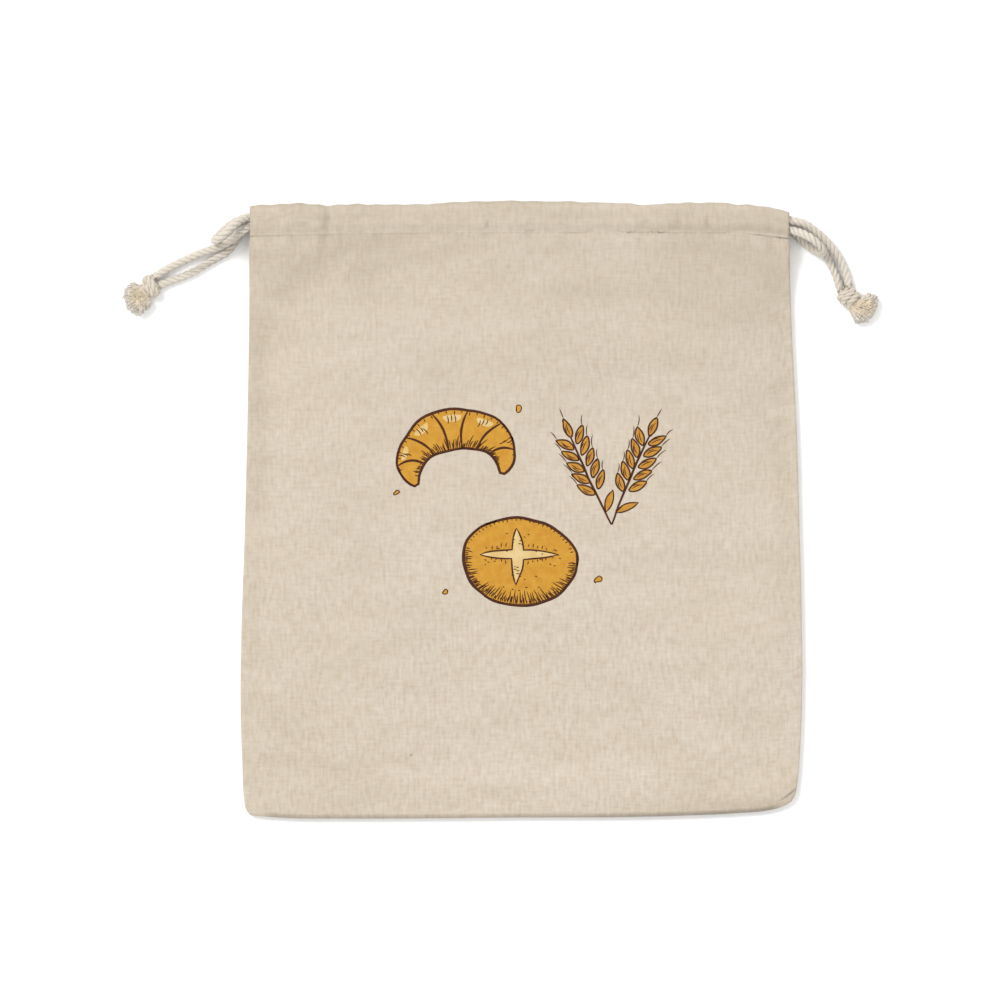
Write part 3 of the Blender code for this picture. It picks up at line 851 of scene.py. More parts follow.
# Creases that the drawstring tunnel's gathers leave: x, half width, depth, reach down, reach up.
GATHERS = (
    (-98.0, 2.4, 1.05, 12.0, 16.0), (-126.0, 2.0, 0.6, 9.0, 6.0), (-114.0, 3.0, 0.55, 10.0, 5.0),
    (-106.0, 1.6, 0.5, 5.0, 5.0), (-90.0, 1.7, 0.6, 6.0, 7.0), (-72.0, 2.6, 0.4, 9.0, 5.0),
    (-52.0, 3.0, 0.45, 10.0, 5.0), (-31.0, 2.0, 0.45, 6.0, 6.0), (-17.5, 1.7, 0.85, 6.0, 9.0),
    (4.0, 2.0, 0.8, 9.0, 6.0), (22.0, 2.4, 0.4, 8.0, 5.0), (41.0, 2.6, 0.5, 9.0, 6.0),
    (60.0, 2.0, 0.4, 6.0, 6.0), (77.0, 2.2, 0.6, 10.0, 10.0), (94.0, 1.9, 0.5, 6.0, 7.0),
    (112.0, 2.2, 0.6, 8.0, 8.0), (124.0, 1.9, 0.65, 9.0, 9.0),
)
# Shallow waves of the front: each line, how far it reaches to its sides, its height.
WAVES = (
    (((-40.0, 96.0), (30.0, 104.0), (96.0, 92.0)), 26.0, 0.5),
    (((-128.0, 10.0), (-118.0, -50.0), (-126.0, -100.0)), 16.0, 0.45),
    (((118.0, 60.0), (124.0, 0.0), (116.0, -70.0)), 18.0, 0.4),
    (((-96.0, -128.0), (-20.0, -118.0), (70.0, -128.0)), 20.0, 0.5),
    (((-90.0, 40.0), (-104.0, -20.0)), 14.0, -0.35),
    (((86.0, 30.0), (98.0, -40.0)), 16.0, -0.3),
    (((-120.0, 58.0), (-104.0, 52.0)), 8.0, -0.35),
)
WAVE_FADE = 0.7
# The share of its full thickness that the cloth is made with, to stay inside the part's.
WALL_SHARE = 0.98
COLUMN_SHIFT = 0.035
ROW_SHIFT = 0.03
# A side's edge leaves its seam by this much, which fades fast over the cloth.
FLARE_OUT = EDGE_INSET - 0.2
FLARE_POWER = 14
# The allowances narrow to this share at the bag's corners, over this run.
CORNER_SHARE = 0.12
CORNER_RUN = 14.0
WALL_BULGE = 0.08
# The allowances' rows: round the fold, then flat.
TURN_STEPS = 9
FLAT_STEPS = 5


def uneven_waves(at, seed, lengths):
    """A row of gentle waves along a length, never quite the same."""
    rng = np.random.default_rng(seed)
    total = np.zeros_like(at)
    for number, length in enumerate(lengths):
        slow = 1 + 0.5 * np.sin(at / (length * 4.7) + rng.uniform(0, 6.3))
        phase = rng.uniform(0, 6.3)
        total = total + WAVE_FADE**number * slow * np.sin(2 * math.pi * at / length + phase)
    return total / sum(WAVE_FADE**number for number in range(len(lengths)))


def gathered(x, reach):
    """How far the gathers let the cloth in at a reach up from the tunnel's stitches, or down."""
    down = reach < 0
    total = np.zeros_like(x)
    for middle, half, depth, reach_down, reach_up in GATHERS:
        lean = middle + 0.12 * reach * math.sin(middle)
        fade = bell(reach, np.where(down, reach_down, reach_up))
        total = total + depth * bell(x - lean, half) * fade
    small = uneven_waves(x, 5, (5.1, 7.7, 12.3))
    return total + 0.24 * (small + 0.6) * np.exp(-np.abs(reach) / np.where(down, 5.5, 6.0))


def side_flare(share_y):
    """How far a side's edge has left its seam: nothing along the seam, all the way past its end."""
    return smooth((share_y - SIDE_SEAM_END + FLARE_RUN) / FLARE_RUN)


def panel_grid(side, across, ups, tunnel_steps):
    """Points of the folded cloth on a grid of the cut cloth: columns across, rows up to the hem."""
    share_x, share_y = np.meshgrid(across, ups)
    x = MOUTH_LEFT + (MOUTH_RIGHT - MOUTH_LEFT) * share_x
    # The sides' places hang on y and the bottom's on x, so each is found again from the other.
    for _ in range(5):
        low = along(BOTTOM_EDGE, x) + EDGE_INSET
        y = low + (along(STITCH_LINE, x) - low) * share_y
        left = along(LEFT_EDGE, y) + EDGE_INSET
        right = along(RIGHT_EDGE, y) - EDGE_INSET
        x = left + (right - left) * share_x
    ends = np.sign(share_x - 0.5) * np.abs(2 * share_x - 1) ** FLARE_POWER
    x = x + side_flare(share_y) * ends * FLARE_OUT
    body = np.stack([x, y, panel_height(side, x, y)], axis=-1)
    return np.concatenate([body, [tunnel_row(side, x[-1], *step) for step in tunnel_steps]])


def tunnel_row(side, x, part, at):
    """A row of the tunnel: of its outer face, its fold, its inner face or the hem past the seam."""
    stitches = along(STITCH_LINE, x)
    middle = tunnel_height(side, x)
    fold = along(TOP_EDGE, x) - CLOTH / 2 - TUNNEL_HALF
    if part == "hem":
        y = stitches - HEM_PAST_STITCHES * at
        return np.stack([x, y, panel_height(side, x, y) - side * LAYER], axis=-1)
    if part == "fold":
        y = fold + TUNNEL_HALF * math.sin(math.pi * at)
        return np.stack([x, y, middle + side * TUNNEL_HALF * math.cos(math.pi * at)], axis=-1)
    reach = (fold - stitches) * at
    share = along(OUTER_RISE if side > 0 and part == "outer" else TUNNEL_RISE, reach)
    if part == "inner":
        share = -share
    if side > 0:
        z = middle + share * TUNNEL_HALF
    else:
        z = BACK_MIDDLE + (0 if part == "outer" else -2 * share * TUNNEL_HALF)
    return np.stack([x, stitches + reach, np.zeros_like(x) + z], axis=-1)


def tunnel_steps(outer, fold, inner, hem):
    """The rows of a tunnel after the stitches' own, closer together where the cloth rises."""
    return (
        [("outer", (k / outer) ** 1.35) for k in range(1, outer)]
        + [("fold", k / fold) for k in range(fold + 1)]
        + [("inner", (k / inner) ** 1.35) for k in range(inner - 1, -1, -1)]
        + [("hem", k / hem) for k in range(1, hem + 1)]
    )


def outward(points):
    """The way out of the outline at each of its points, from the left side round the bottom."""
    heading = np.gradient(points, axis=0)
    for _ in range(2):
        heading[1:-1] = (heading[:-2] + 2 * heading[1:-1] + heading[2:]) / 4
    heading /= np.linalg.norm(heading, axis=1)[:, None]
    return np.stack([heading[:, 1], -heading[:, 0]], axis=1)


def surface_normals(grid):
    normals = np.cross(np.gradient(grid, axis=1), np.gradient(grid, axis=0))
    return normals / np.linalg.norm(normals, axis=2)[..., None]


def front_relief(grid, body_rows, cut_y):
    """How far the front cloth stands off its even shape: gathers, seam pull, waves, crumples."""
    relief = np.zeros(grid.shape[:2])
    # Both are parts of the relief itself, so what they take is added to it.
    body, tunnel = relief[:body_rows], relief[body_rows:]
    x, y = grid[:body_rows, :, 0], grid[:body_rows, :, 1]
    below = past_stitches(grid[:body_rows])
    body += seam_lift(below) + SEAM_PUFF * (1 - bell(below, 2.6)) * np.exp(below / 24.0)
    hem_mark = bell(below + 9.6 + 0.8 * np.sin(x / 21.0), 2.4)
    body -= 0.14 * hem_mark * smooth((x + 60.0) / 150.0)
    body -= gathered(x, below) * smooth(-below / 3.0 + 0.25)
    body += swells(WAVES, x, y)
    for distance, at, seed in (
        (x - along(LEFT_EDGE, y), y + 0.5 * x, 11), (along(RIGHT_EDGE, y) - x, y - 0.4 * x, 12),
        (y - along(BOTTOM_EDGE, x), x, 13),
    ):
        pull = uneven_waves(at, seed, (8.3, 12.9, 19.0))
        body += 0.16 * pull * bell(distance - 4.5, 4.2) - 0.10 * bell(distance - 8.5, 2.6)
    crumple = uneven_waves(x + 0.6 * y, 21, (41.0, 27.0, 17.0))
    body += 0.16 * crumple * uneven_waves(y - 0.3 * x, 22, (53.0, 31.0, 19.0))
    past = cut_y[body_rows:] - cut_y[body_rows - 1]
    x = grid[body_rows:, :, 0]
    ridges = 0.42 - gathered(x, np.maximum(past, 0.0)) + 0.1 * uneven_waves(x, 31, (23.0, 37.0))
    sag = 0.28 * bell(past - 7.6, 1.5) * (1 + 0.5 * np.sin(x / 17.0))
    outer = smooth(past / 2.5) * (1 - smooth((past - 16.0) / 6.0))
    tunnel += (ridges - sag) * outer + seam_lift(past) * (1 - smooth((past - 9.0) / 4.0))
    tunnel += 0.34 * uneven_waves(x, 37, (9.7, 15.1, 26.0)) * bell(past - 16.5, 4.0)
    return relief


# Painted shade of soft folds, and painted light where the depth is below 0: each line of places,
# how far it reaches, its depth.
SOFT_FOLD_SHADE = (
    (((-122.0, 108.0), (-108.0, 119.0), (-93.0, 130.0), (-60.0, 137.0)), 5.5, 0.5),
    (((-84.0, 119.0), (-64.0, 124.0), (-44.0, 127.0), (-14.0, 136.0)), 4.5, 0.4),
    (((-131.0, 96.0), (-131.5, 40.0), (-132.5, 0.0)), 6.0, 0.52),
    (((-134.0, -40.0), (-134.5, -90.0)), 4.5, 0.2),
    (((128.0, 118.0), (129.5, 40.0), (132.5, -10.0), (133.0, -60.0)), 4.5, 0.26),
    (((60.0, 128.5), (96.0, 130.5), (126.0, 128.5)), 3.4, 0.26),
    (((20.0, 108.0), (70.0, 112.0), (118.0, 104.0)), 10.0, 0.22),
    (((-40.0, 70.0), (20.0, 73.0), (80.0, 70.0)), 12.0, 0.2),
    (((-126.0, -124.0), (-92.0, -126.5), (-58.0, -125.0)), 4.0, 0.2),
    (((-60.0, -134.0), (0.0, -130.0), (60.0, -134.0)), 8.0, -0.3),
    (((-120.0, 70.0), (-60.0, 84.0), (-10.0, 92.0)), 11.0, -0.2),
)


def cloth_shade(side, grid, body_rows, cut_y):
    """How much painted shade the cloth holds, and painted light where it is below 0: in its
    creases, at its seams, at its fold and at its rim.
    """
    x, y = grid[..., 0], grid[..., 1]
    past = np.where(
        np.arange(len(grid))[:, None] < body_rows, past_stitches(grid),
        cut_y - cut_y[body_rows - 1],
    )
    bottom = y - along(BOTTOM_EDGE, x)
    # Painted shadow along the bottom rim where the cloth meets the floor, deeper to the right, and
    # painted shade above it where the cloth curves down.
    shade = 4.1 * bell(bottom, 1.25) * smooth((132.0 - np.abs(x)) / 8.0)
    shade *= 1 + 0.4 * smooth((x - 25.0) / 30.0)
    shade += 0.3 * bell(bottom - 5.0, 5.0) * smooth((x - 75.0) / 30.0)
    shade += 0.55 * bell(bottom - 3.0, 4.0) * smooth((x - 20.0) / 80.0)
    # Painted shade: a little darker to the left and towards the top.
    shade += 0.14 * smooth((-20.0 - x) / 110.0) + 0.3 * smooth((y - 20.0) / 130.0)
    # Painted shade where the top fold rounds away.
    shade += 0.8 * bell(past - 15.8, 1.7)
    if side < 0:
        return shade
    # Above the front's stitches: painted light in a band over the left and the middle, and painted
    # shade in it towards the right end.
    right = smooth((x - 10.0) / 70.0)
    higher = 1.4 + 0.9 * right + 1.6 * smooth((x - 100.0) / 25.0)
    band = 0.64 * right + 0.2 * bell(x + 107.0, 14.0) + 0.26 * smooth((x - 100.0) / 15.0) - 0.42
    shade += band * bell(past - higher, 2.6)
    # Painted light on the stitch line, at its ends and towards the right.
    at_ends = smooth((np.abs(x + 1.0) - 96.0) / 20.0)
    shade -= (0.46 * at_ends + 0.3 * right) * bell(past - 0.3, 1.1)
    # Painted light in a band just below the stitches.
    shade -= 0.15 * bell(past + 3.6, 1.9)
    # Painted shade in the gathers' creases.
    shade += 0.45 * np.clip(gathered(x, past), 0.0, 1.2) * (past < 14.0)
    # Painted shade of soft folds below the stitches, and painted light where a fold's depth is
    # below 0.
    return shade + swells(SOFT_FOLD_SHADE, x, y) * (past < 0)


def add_allowances(side, ups, grid, number, verts, lengths):
    """Adds the turned-in edges, from the left side's end round the bottom to the right side's.

    It gives back all the points and their lengths, and the faces of the edges.
    """
    last = int(np.searchsorted(ups, SIDE_SEAM_END))
    rim = np.concatenate([number[last:0:-1, 0], number[0], number[1:last + 1, -1]])
    rim_ups = np.concatenate([ups[last:0:-1], np.zeros(len(number[0])), ups[1:last + 1]])
    edge, edge_cut = verts[rim], lengths[rim]
    out = outward(edge[:, :2])
    corner = np.min([
        np.hypot(*(edge[:, :2] - spot[:2]).T) for spot in (grid[0, 0], grid[0, -1])
    ], axis=0)
    wide = ALLOWANCE * np.clip(CORNER_SHARE + corner / CORNER_RUN, CORNER_SHARE, 1.0)
    # The allowances lie flat between the panels; where the front stands higher, its side comes
    # down to them as a low wall.
    inside = SEAM_MIDDLE - LAYER if side > 0 else BACK_MIDDLE + LAYER
    fall = edge[:, 2] - inside
    half_round = np.abs(fall) / 2
    bulge = FOLD_RADIUS + WALL_BULGE * (half_round - FOLD_RADIUS)
    bulge = bulge * (1 - side_flare(rim_ups))
    faces, previous = [], rim
    for step in range(1, TURN_STEPS + FLAT_STEPS + 1):
        if step <= TURN_STEPS:
            angle = math.pi * step / TURN_STEPS
            shift = bulge * math.sin(angle)
            length = half_round * angle
            height = edge[:, 2] - fall * (1 - math.cos(angle)) / 2
        else:
            shift = -wide * (step - TURN_STEPS) / FLAT_STEPS
            length = half_round * math.pi - shift
            height = np.full(len(edge), inside)
        new = len(verts) + np.arange(len(rim))
        place = np.column_stack([edge[:, :2] + out * shift[:, None], height])
        cut = np.column_stack([edge_cut[:, :2] + out * length[:, None], edge_cut[:, 2]])
        verts, lengths = np.vstack([verts, place]), np.vstack([lengths, cut])
        faces.append(quads(previous, new)[:, ::-1])
        previous = new
    return verts, lengths, faces


def make_panel(name, side, columns, rows, steps, finish):
    """A panel of cloth: the cut piece folded at its seams and its hem, with its thickness."""
    # The columns are closer together at the sides, and the rows at the bottom and at the top.
    across, ups = (np.linspace(0.0, 1.0, count + 1) for count in (columns, rows))
    across = across - COLUMN_SHIFT * np.sin(2 * math.pi * across)
    ups = ups - ROW_SHIFT * np.sin(2 * math.pi * ups)
    grid = panel_grid(side, across, ups, steps)
    body_rows = rows + 1
    steps_up = np.linalg.norm(np.diff(grid, axis=0), axis=2)
    cut_y = np.vstack([np.zeros(columns + 1), np.cumsum(steps_up, axis=0)]) + grid[0, :, 1]
    shade = cloth_shade(side, grid, body_rows, cut_y)
    if side < 0:
        grid[..., 2] += BACK_DENT * bell(past_stitches(grid), DENT_REACH)
    else:
        grid = grid + surface_normals(grid) * front_relief(grid, body_rows, cut_y)[..., None]
        inner = body_rows + np.flatnonzero([part in ("inner", "hem") for part, _ in steps])
        grid[inner, :, 2] += seam_lift(past_stitches(grid[inner]))
    verts = grid.reshape(-1, 3)
    lengths = np.stack([grid[..., 0], cut_y, shade], axis=-1).reshape(-1, 3)
    number = np.arange(len(verts)).reshape(grid.shape[:2])
    verts, lengths, folded = add_allowances(side, ups, grid, number, verts, lengths)
    faces = np.concatenate([quads(number[:-1], number[1:]), *folded])
    if side < 0:
        faces = faces[:, ::-1]
    cloth = piece_from(name, verts, faces.tolist(), finish, "cut", lengths)
    modify(
        cloth, "SOLIDIFY", thickness=CLOTH * WALL_SHARE * MM, offset=0.0, use_even_offset=False,
    )
    return cloth


# ---- stitches

STITCH_LONG = 2.7
STITCH_GAP = 0.7
SEWING_THREAD = 0.21
STITCH_DIP = 0.24
# In metres: the heights from which the cloth's top and underside are looked for.
LOOK_FROM_OVER, LOOK_FROM_UNDER = 0.06, -0.02
# How far in from the corners of the mouth the row of stitches starts, and the last of them.
ROW_INSETS = (2.4, 4.6)


def make_stitches(name, side, height_of, finish, slot):
    """The row of stitches that closes a tunnel: thread that dips into the cloth at each end."""
    rng = random.Random(40 + side)
    tubes = Tubes()
    share = np.linspace(0, 1, 7)
    arch = np.sin(math.pi * share) ** 0.6
    x = MOUTH_LEFT + ROW_INSETS[0]
    while x < MOUTH_RIGHT - ROW_INSETS[1]:
        at = x + STITCH_LONG * share
        y = along(STITCH_LINE, at) + rng.uniform(-0.12, 0.12)
        z = height_of(at, y) + side * (SEWING_THREAD * 1.2 * arch - STITCH_DIP)
        path = np.stack([at, y, np.maximum(z, SEWING_THREAD + 0.02)], axis=1)
        tubes.add(path, SEWING_THREAD * (0.75 + 0.25 * arch), YARN_SIDES, shift=x)
        x += STITCH_LONG + STITCH_GAP + rng.uniform(-0.1, 0.1)
    return tubes.piece(name, finish, slot)


def height_on(cloth, upwards):
    """Reads the height of a cloth's top or underside at places in millimetres."""
    only(cloth)
    start_z, way = (LOOK_FROM_OVER, -1.0) if upwards else (LOOK_FROM_UNDER, 1.0)

    def height(x, y):
        found = []
        for px, py in zip(x, y):
            hit, place, _, _ = cloth.ray_cast((px * MM, py * MM, start_z), (0, 0, way))
            found.append(place.z / MM if hit else 0.0)
        return np.array(found)

    return height


# ---- print

# The print: a crescent roll, a round loaf with a cross cut in its crust, and two ears of grain.
# Every motif is drawn about its own middle and then scaled, turned and put in its place.
INK_THICK = 0.04
OUTLINE_THIN = 0.35
# In metres: the height from which a film of ink is laid down on the cloth.
FILM_START = 0.05
FILL_GRID = 2.2
FILL_SHIFT = (0.45, 0.35)
GRAIN_SHIFT = (0.25, 0.2)
ROLL_AT = ((-33.0, 30.5), 8.0, 1.17)
LOAF_AT = ((-1.0, -25.5), -5.0, 1.12)
EARS_FOOT = (45.0, -7.0)
EAR_TILTS = (25.0, -23.0)
EAR_UP = 34.0
EAR_SCALE = 1.22
LOAF_HALF = (25.0, 19.0)
# Loose crumbs: x, y, half width.
CRUMBS = ((-1.5, 51.0, 1.5), (-62.5, 9.0, 1.3), (38.5, -34.5, 1.7), (-38.0, -40.5, 1.2))


def placed(points, middle, turn, scale=1.0):
    """Points of a motif, scaled, turned and put in their place on the bag."""
    return turned(np.asarray(points, float) * scale, turn) + middle


def bow(start, end, sag, count=9):
    """A curved line between two places, bowed to its left by sag."""
    start, run = np.asarray(start, float), np.subtract(end, start)
    share = np.linspace(0, 1, count)[:, None]
    side = np.array([-run[1], run[0]]) / max(np.linalg.norm(run), 1e-6)
    return start + run * share + side * sag * 4 * share * (1 - share)


def drawn_closed(points, count):
    """A smooth closed outline through the given corners."""
    points = np.asarray(points, float)
    return curve_through(np.vstack([points[-1], points, points[:2]]), count)


def crescent(rng):
    """A crescent roll: its outline, its pleats, the hatching of its underside, and its lights."""
    def edge(s, out):
        """The place s of the way along the roll, from its inner edge (-1) to its outer one (1)."""
        angle = math.radians(203 - 226 * s)
        swell = math.sin(math.pi * s) ** 0.75
        pleats = 1 + 0.13 * abs(math.sin(math.pi * 3.5 * s)) if out > 0 else 0.92
        reach = out * (1.0 + 7.6 * swell) * pleats
        return np.array([
            (20.0 + reach) * math.cos(angle), (15.0 + reach) * math.sin(angle) - 7.0,
        ])

    def toward(foot, aim, share):
        return foot + (aim - foot) * share

    shares = np.linspace(0, 1, 45)
    outline = np.array([edge(s, 1) for s in shares] + [edge(s, -1) for s in shares[::-1]])
    pleats = [
        bow(edge(s, 1), edge(s + (0.5 - s) * 0.10, -1), 1.7 if s < 0.5 else -1.7)
        for s in (0.145, 0.285, 0.43, 0.57, 0.715, 0.855)
    ]
    hatches = []
    for s in np.linspace(0.07, 0.93, 58):
        reach = 0.22 + 0.22 * rng.random() + (0.2 if int(s * 58) % 5 == 0 else 0.0)
        foot = edge(s, -0.98)
        head = toward(foot, edge(s + 0.012, 1), reach * 0.62)
        hatches.append(bow(foot, head, rng.uniform(-0.3, 0.3), 5))
    for s in np.linspace(0.12, 0.88, 26):
        foot = edge(s, 0.93)
        hatches.append(bow(foot, toward(foot, edge(s, -0.1), rng.uniform(0.08, 0.2)), 0.1, 4))
    for s in (0.21, 0.36, 0.5, 0.64, 0.79):
        inward = edge(s, -0.1) - edge(s, 0.75)
        inward /= np.linalg.norm(inward)
        for k in (-1, 0, 1):
            foot = edge(s, 0.75) + (k * 1.5, -0.4 * abs(k))
            hatches.append(bow(foot, foot + inward * rng.uniform(2.4, 3.6), 0.3, 4))
    lights = [drawn_closed([
        edge(s - 0.035, 0.72), edge(s + 0.035, 0.74), edge(s + 0.025, 0.45), edge(s - 0.025, 0.45),
    ], 4) for s in (0.215, 0.36, 0.505, 0.65)]
    return outline, pleats, hatches, lights


def round_loaf(rng):
    """A round loaf: its outline, the cross cut in it with its crumb, and hatching round its rim."""
    angles = np.linspace(0, 2 * math.pi, 64, endpoint=False)
    wobble = 1 + 0.016 * np.sin(3 * angles + 0.6) + 0.010 * np.sin(5 * angles)
    outline = np.stack([25.5 * wobble * np.cos(angles), 19.5 * wobble * np.sin(angles)], axis=1)
    tips = ((16.8, 4.6), (-2.6, 14.4), (-17.6, 1.6), (-0.6, -10.6))
    inner = ((1.5, 5.3), (-3.9, 5.0), (-3.8, 0.9), (1.6, 1.1))
    cut = np.vstack([
        bow(start, end, -0.55, 6)[:-1]
        for k in range(4) for start, end in ((tips[k], inner[k]), (inner[k], tips[(k + 1) % 4]))
    ])
    hatches = []

    def at(angle, reach_x, reach_y):
        return np.array([reach_x * math.cos(angle), reach_y * math.sin(angle)])

    for row, (count, low, high) in enumerate(((74, 0.05, 0.13), (58, 0.10, 0.24))):
        for angle in np.linspace(math.radians(176 - 8 * row), math.radians(364), count):
            down = 0.25 + 0.75 * max(-math.sin(angle), 0.0)
            rim = at(angle, *LOAF_HALF)
            inward = rim * (1 - rng.uniform(low, high) * (0.4 + down))
            hatches.append(bow(rim, inward, rng.uniform(-0.4, 0.4), 4))
    for angle in np.linspace(math.radians(20), math.radians(160), 30):
        rim = at(angle, *LOAF_HALF)
        hatches.append(bow(rim, rim * (1 - rng.uniform(0.02, 0.07)), 0.1, 3))
    for start, end, side in (
        ((-15.0, 1.0), (14.0, 3.2), -1), ((-15.0, 4.0), (14.0, 6.0), 1),
        ((-4.4, 11.0), (-3.2, -8.0), -1), ((0.4, 11.0), (1.6, -8.0), 1),
    ):
        run = np.subtract(end, start)
        away = np.array([-run[1], run[0]]) / np.linalg.norm(run)
        away = away * (side if abs(away[1]) > 0.7 else -side)
        for share in np.linspace(0.08, 0.92, 13):
            foot = start + run * share + away * (2.2 * math.sin(math.pi * share) - 0.4)
            if abs(foot[0] + 1.6) < 3.4 and abs(foot[1] - 3.1) < 4.4:
                continue
            head = foot + away * rng.uniform(0.9, 2.1) + (rng.uniform(-0.5, 0.5), 0)
            hatches.append(bow(foot, head, 0.15, 3))
    for _ in range(30):
        angle, reach = rng.uniform(0, 2 * math.pi), math.sqrt(rng.uniform(0.2, 1.0)) * 0.78
        spot = at(angle, 24.0 * reach, 17.0 * reach)
        hatches.append(bow(spot, spot + (rng.uniform(0.6, 1.2), rng.uniform(-0.5, 0.5)), 0.15, 3))
    return outline, cut, hatches


def grain_ear(rng):
    """An ear of grain about its middle: grains in two rows and on top, beard, stem, blade."""
    grains, lines, beard = [], [], []
    shape = drawn_closed([
        (0.0, 0.0), (1.2, 1.3), (1.75, 3.6), (1.25, 6.0), (0.2, 7.9), (-1.0, 6.0), (-1.5, 3.6),
        (-0.9, 1.3),
    ], 3)
    seats = [(k * 5.1 - 13.6, side) for k in range(5) for side in (-1, 1)] + [(11.6, 0)]
    for up, side in seats:
        turn = -side * 41.0 + rng.uniform(-1.5, 1.5)
        foot = (side * 1.0, up + (1.4 if side > 0 else 0.0))
        grains.append(placed(shape, foot, turn))
        lines.append(placed(bow((0.1, 1.4), (0.5, 6.0), 0.4, 5), foot, turn))
        lines.append(placed(bow((-0.8, 2.2), (-0.4, 5.0), 0.2, 4), foot, turn))
        tip = placed((0.2, 7.8), foot, turn)
        end = placed((0.5, 7.8 + rng.uniform(4.0, 5.6)), foot, turn * 0.8)
        beard.append(bow(tip, end, side * 0.4, 6))
    stem = bow((0.0, -EAR_UP / EAR_SCALE), (0.0, 11.6), 0.5, 14)
    # The blade: a long leaf between two places.
    low, high = (-0.2, -22.5), (6.4, -15.2)
    blade = np.vstack([bow(low, high, 1.4, 7)[:-1], bow(high, low, 1.4, 7)[:-1]])
    return grains, lines, beard, stem, blade


def drawing_of(name, outlines, closed, **settings):
    """A drawing of straight stretches on the level of the floor, one line for each outline."""
    drawing = with_settings(bpy.data.curves.new(name, "CURVE"), **settings)
    for outline in outlines:
        line = drawing.splines.new("POLY")
        line.points.add(len(outline) - 1)
        line.use_cyclic_u = closed
        for point, (x, y) in zip(line.points, outline):
            point.co = (x * MM, y * MM, 0.0, 1.0)
    return drawing


def film_of(drawing):
    """The flat mesh of a drawing."""
    film = bpy.data.objects.new(drawing.name, drawing)
    bpy.context.collection.objects.link(film)
    only(film)
    bpy.ops.object.convert(target="MESH")
    return bpy.context.object


def ink_fill(name, outlines, finish, lift, cloth):
    """Flat shapes of ink, cut into small faces so that they lie on the cloth."""
    film = film_of(drawing_of(name, outlines, True, dimensions="2D", fill_mode="BOTH"))
    everything = np.vstack(outlines)
    bpy.ops.object.mode_set(mode="EDIT")
    for axis in (0, 1):
        cut = everything[:, axis].min() + FILL_GRID / 2
        while cut < everything[:, axis].max():
            normal, place = [0.0] * 3, [0.0] * 3
            normal[axis], place[axis] = 1.0, cut * MM
            bpy.ops.mesh.select_all(action="SELECT")
            bpy.ops.mesh.bisect(plane_co=place, plane_no=normal)
            cut += FILL_GRID
    bpy.ops.object.mode_set(mode="OBJECT")
    return lay_on(film, finish, lift, cloth)


def ink_lines(name, strokes, finish, lift, cloth):
    """Brush strokes of ink: each a line of places, its width, and how far it thins at its ends."""
    drawing = drawing_of(
        name, [line for line, _, _ in strokes], False,
        dimensions="3D", twist_mode="Z_UP", extrude=0.5 * MM,
    )
    for line, (_, width, thin) in zip(drawing.splines, strokes):
        for point, share in zip(line.points, np.linspace(-1, 1, len(line.points))):
            point.radius = width * (1 - thin * abs(share) ** 2.2)
            point.tilt = math.pi / 2
    return lay_on(film_of(drawing), finish, lift, cloth)


def lay_on(film, finish, lift, cloth):
    """Lays a flat film of ink on the cloth and gives it its thickness."""
    only(film)
    bpy.ops.object.mode_set(mode="EDIT")
    bpy.ops.mesh.select_all(action="SELECT")
    bpy.ops.transform.translate(value=(0.0, 0.0, FILM_START))
    bpy.ops.mesh.normals_make_consistent(inside=False)
    bpy.ops.object.mode_set(mode="OBJECT")
    mesh = film.data
    if sum(face.normal.z for face in mesh.polygons) < 0:
        mesh.flip_normals()
    modify(
        film, "SHRINKWRAP", target=cloth, wrap_method="PROJECT", use_project_z=True,
        use_negative_direction=True, use_positive_direction=False, offset=lift * MM,
    )
    modify(film, "SOLIDIFY", thickness=INK_THICK * MM, offset=-1.0)
    mesh.materials.clear()
    mesh.materials.append(finish)
    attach(film, "root")
    return film


def hand_drawn(line, rng, waver=0.16):
    """The same line as a hand draws it."""
    reach = lengths_along(line)
    phase = [rng.uniform(0, 6.3) for _ in range(4)]
    shift = np.stack([
        np.sin(reach / 3.7 + phase[0]) + 0.6 * np.sin(reach / 1.9 + phase[1]),
        np.sin(reach / 3.1 + phase[2]) + 0.6 * np.sin(reach / 2.2 + phase[3]),
    ], axis=1)
    return line + waver * shift


def round_line(outline, rng, spans):
    """An outline as a few overlapping strokes."""
    closed = np.vstack([outline, outline])
    count = len(outline)
    for number in range(spans):
        start = number * count // spans
        length = count // spans + max(count // 14, 2)
        yield hand_drawn(closed[start:start + length + 1], rng)


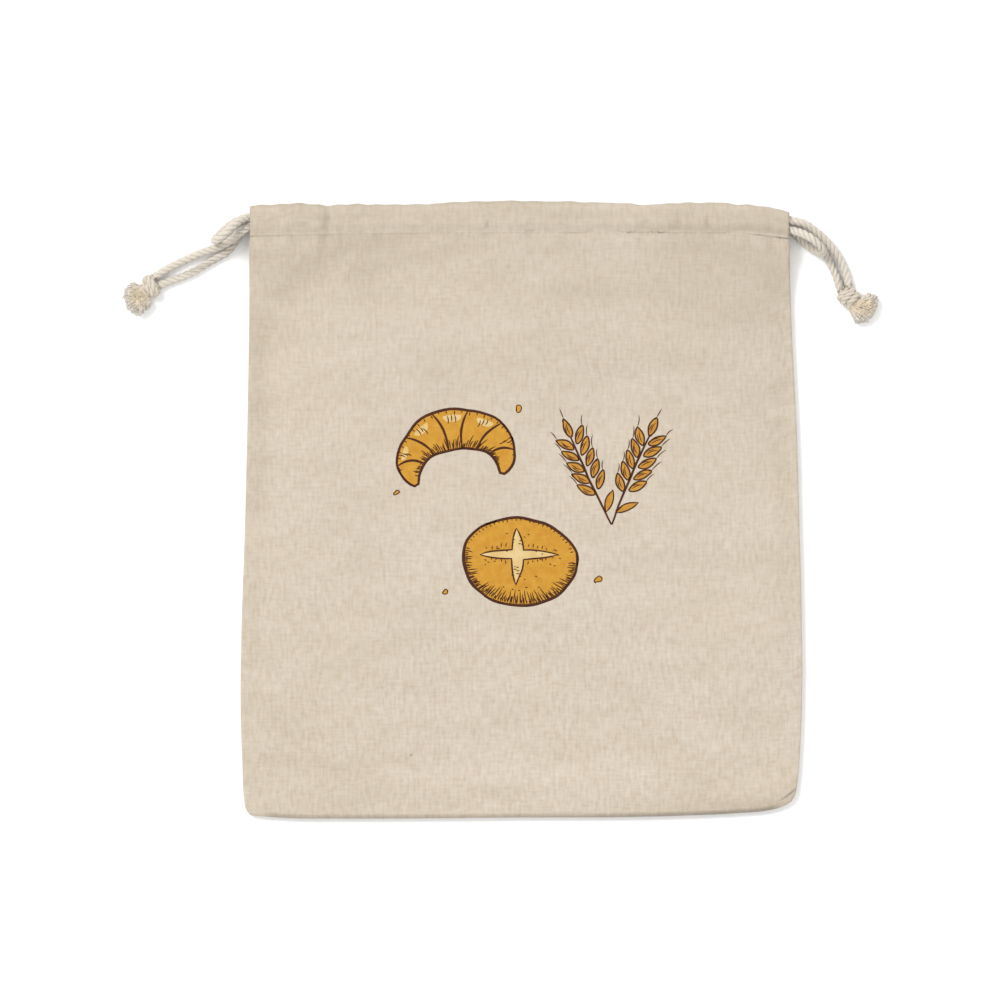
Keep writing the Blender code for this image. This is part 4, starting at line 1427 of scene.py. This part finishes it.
def make_print(cloth):
    """All the ink on the bag's front."""
    rng = random.Random(23)
    roll, pleats, roll_hatch, roll_lights = crescent(rng)
    loaf, cut, loaf_hatch = round_loaf(rng)
    strokes = []

    def outline_of(shape, width, spans=3):
        strokes.extend((line, width, OUTLINE_THIN) for line in round_line(shape, rng, spans))

    def add_strokes(lines, place, width, thin):
        strokes.extend((hand_drawn(placed(line, *place), rng, 0.1), width, thin) for line in lines)

    gold = [placed(roll, *ROLL_AT) + FILL_SHIFT, placed(loaf, *LOAF_AT) + FILL_SHIFT]
    outline_of(placed(roll, *ROLL_AT), 1.4)
    outline_of(placed(loaf, *LOAF_AT), 1.5)
    add_strokes(pleats, ROLL_AT, 1.25, 0.6)
    add_strokes(roll_hatch, ROLL_AT, 0.58, 0.65)
    add_strokes(loaf_hatch, LOAF_AT, 0.58, 0.65)
    cut = placed(cut, *LOAF_AT)
    crumb = [placed(shape, *ROLL_AT) for shape in roll_lights] + [cut]
    outline_of(cut, 0.85, 4)
    shade = []
    for tilt in EAR_TILTS:
        turn = math.radians(tilt)
        spot = (EARS_FOOT[0] - EAR_UP * math.sin(turn), EARS_FOOT[1] + EAR_UP * math.cos(turn))
        place = (spot, tilt, EAR_SCALE)
        grains, lines, beard, stem, blade = grain_ear(rng)
        for grain in grains:
            shape = placed(grain, *place)
            shade.append(shape + GRAIN_SHIFT)
            outline_of(shape, 0.8, 2)
        shade.append(placed(blade, *place))
        outline_of(shade[-1], 0.7, 2)
        add_strokes([stem], place, 1.15, 0.3)
        add_strokes(lines, place, 0.5, 0.7)
        add_strokes(beard, place, 0.5, 0.8)
    turns = np.linspace(0, 2 * math.pi, 14, endpoint=False)
    for x, y, size in CRUMBS:
        uneven = size * (1 + 0.22 * np.sin(2 * turns + x) + 0.12 * np.sin(3 * turns + y))
        gold.append(np.stack([x + uneven * np.cos(turns), y + uneven * np.sin(turns)], axis=1))
        outline_of(gold[-1], 0.5, 2)
    films = []
    for make, name, shapes, ink, colour, deep, cover, lift in (
        (ink_fill, "print_crusts", gold, "gold", (214, 159, 56), (202, 141, 42), 0.75, 0.03),
        (ink_fill, "print_grains", shade, "ochre", (207, 151, 58), (191, 132, 46), 0.75, 0.05),
        (ink_fill, "print_crumb", crumb, "cream", (232, 204, 146), (222, 186, 118), 0.6, 0.06),
        (ink_lines, "print_lines", strokes, "brown", (86, 41, 17), (66, 28, 10), 0.9, 0.08),
    ):
        finish = printed("ink_" + ink, colour, deep, cover)
        films.append(make(name, shapes, finish, lift, cloth))
    return films


# ---- make everything

make_camera()
make_studio()

cord_cotton = twisted("cord_cotton", (240, 233, 222), (218, 207, 190))
knot_cotton = twisted(
    "knot_cotton", (236, 228, 213), (214, 201, 181), core=(241, 224, 196),
)
left_cord, left_path = make_drawcord(
    "left_drawcord", LEFT_ENDS, RIGHT_TURN, "low", True, cord_cotton,
)
right_cord, right_path = make_drawcord(
    "right_drawcord", RIGHT_ENDS, LEFT_TURN, "high", False, cord_cotton,
)
fray = random.Random(7)
left_knot = make_knot("left", left_path, knot_cotton, fray)
right_knot = make_knot("right", right_path, knot_cotton, fray)
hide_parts("drawcord_left")
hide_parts("drawcord_right")
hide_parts("knot_left")
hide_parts("knot_right")
for cord_piece, path, knot in (
    (left_cord, left_path, left_knot), (right_cord, right_path, right_knot),
):
    float(lengths_along(path)[-1]) * MM

linen_front = linen("linen_front", SPECKS_AND_CREASE_SHADE)
linen_back = linen("linen_back")
front_cloth = make_panel(
    "front_cloth", 1, 168, 172, tunnel_steps(15, 8, 9, 2), linen_front,
)
back_cloth = make_panel(
    "back_cloth", -1, 110, 110, tunnel_steps(9, 10, 9, 2), linen_back,
)
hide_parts("front_panel")
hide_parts("back_panel")

sewing_thread = twisted(
    "sewing_thread", (216, 203, 184), (204, 190, 168), yarns=2.0, lay=0.9, relief=0.03,
)
front_stitches = make_stitches(
    "front_tunnel_stitches", 1, height_on(front_cloth, True), sewing_thread, "linen_front",
)
back_stitches = make_stitches(
    "back_tunnel_stitches", -1, height_on(back_cloth, False), sewing_thread, "linen_back",
)
print_films = make_print(front_cloth)
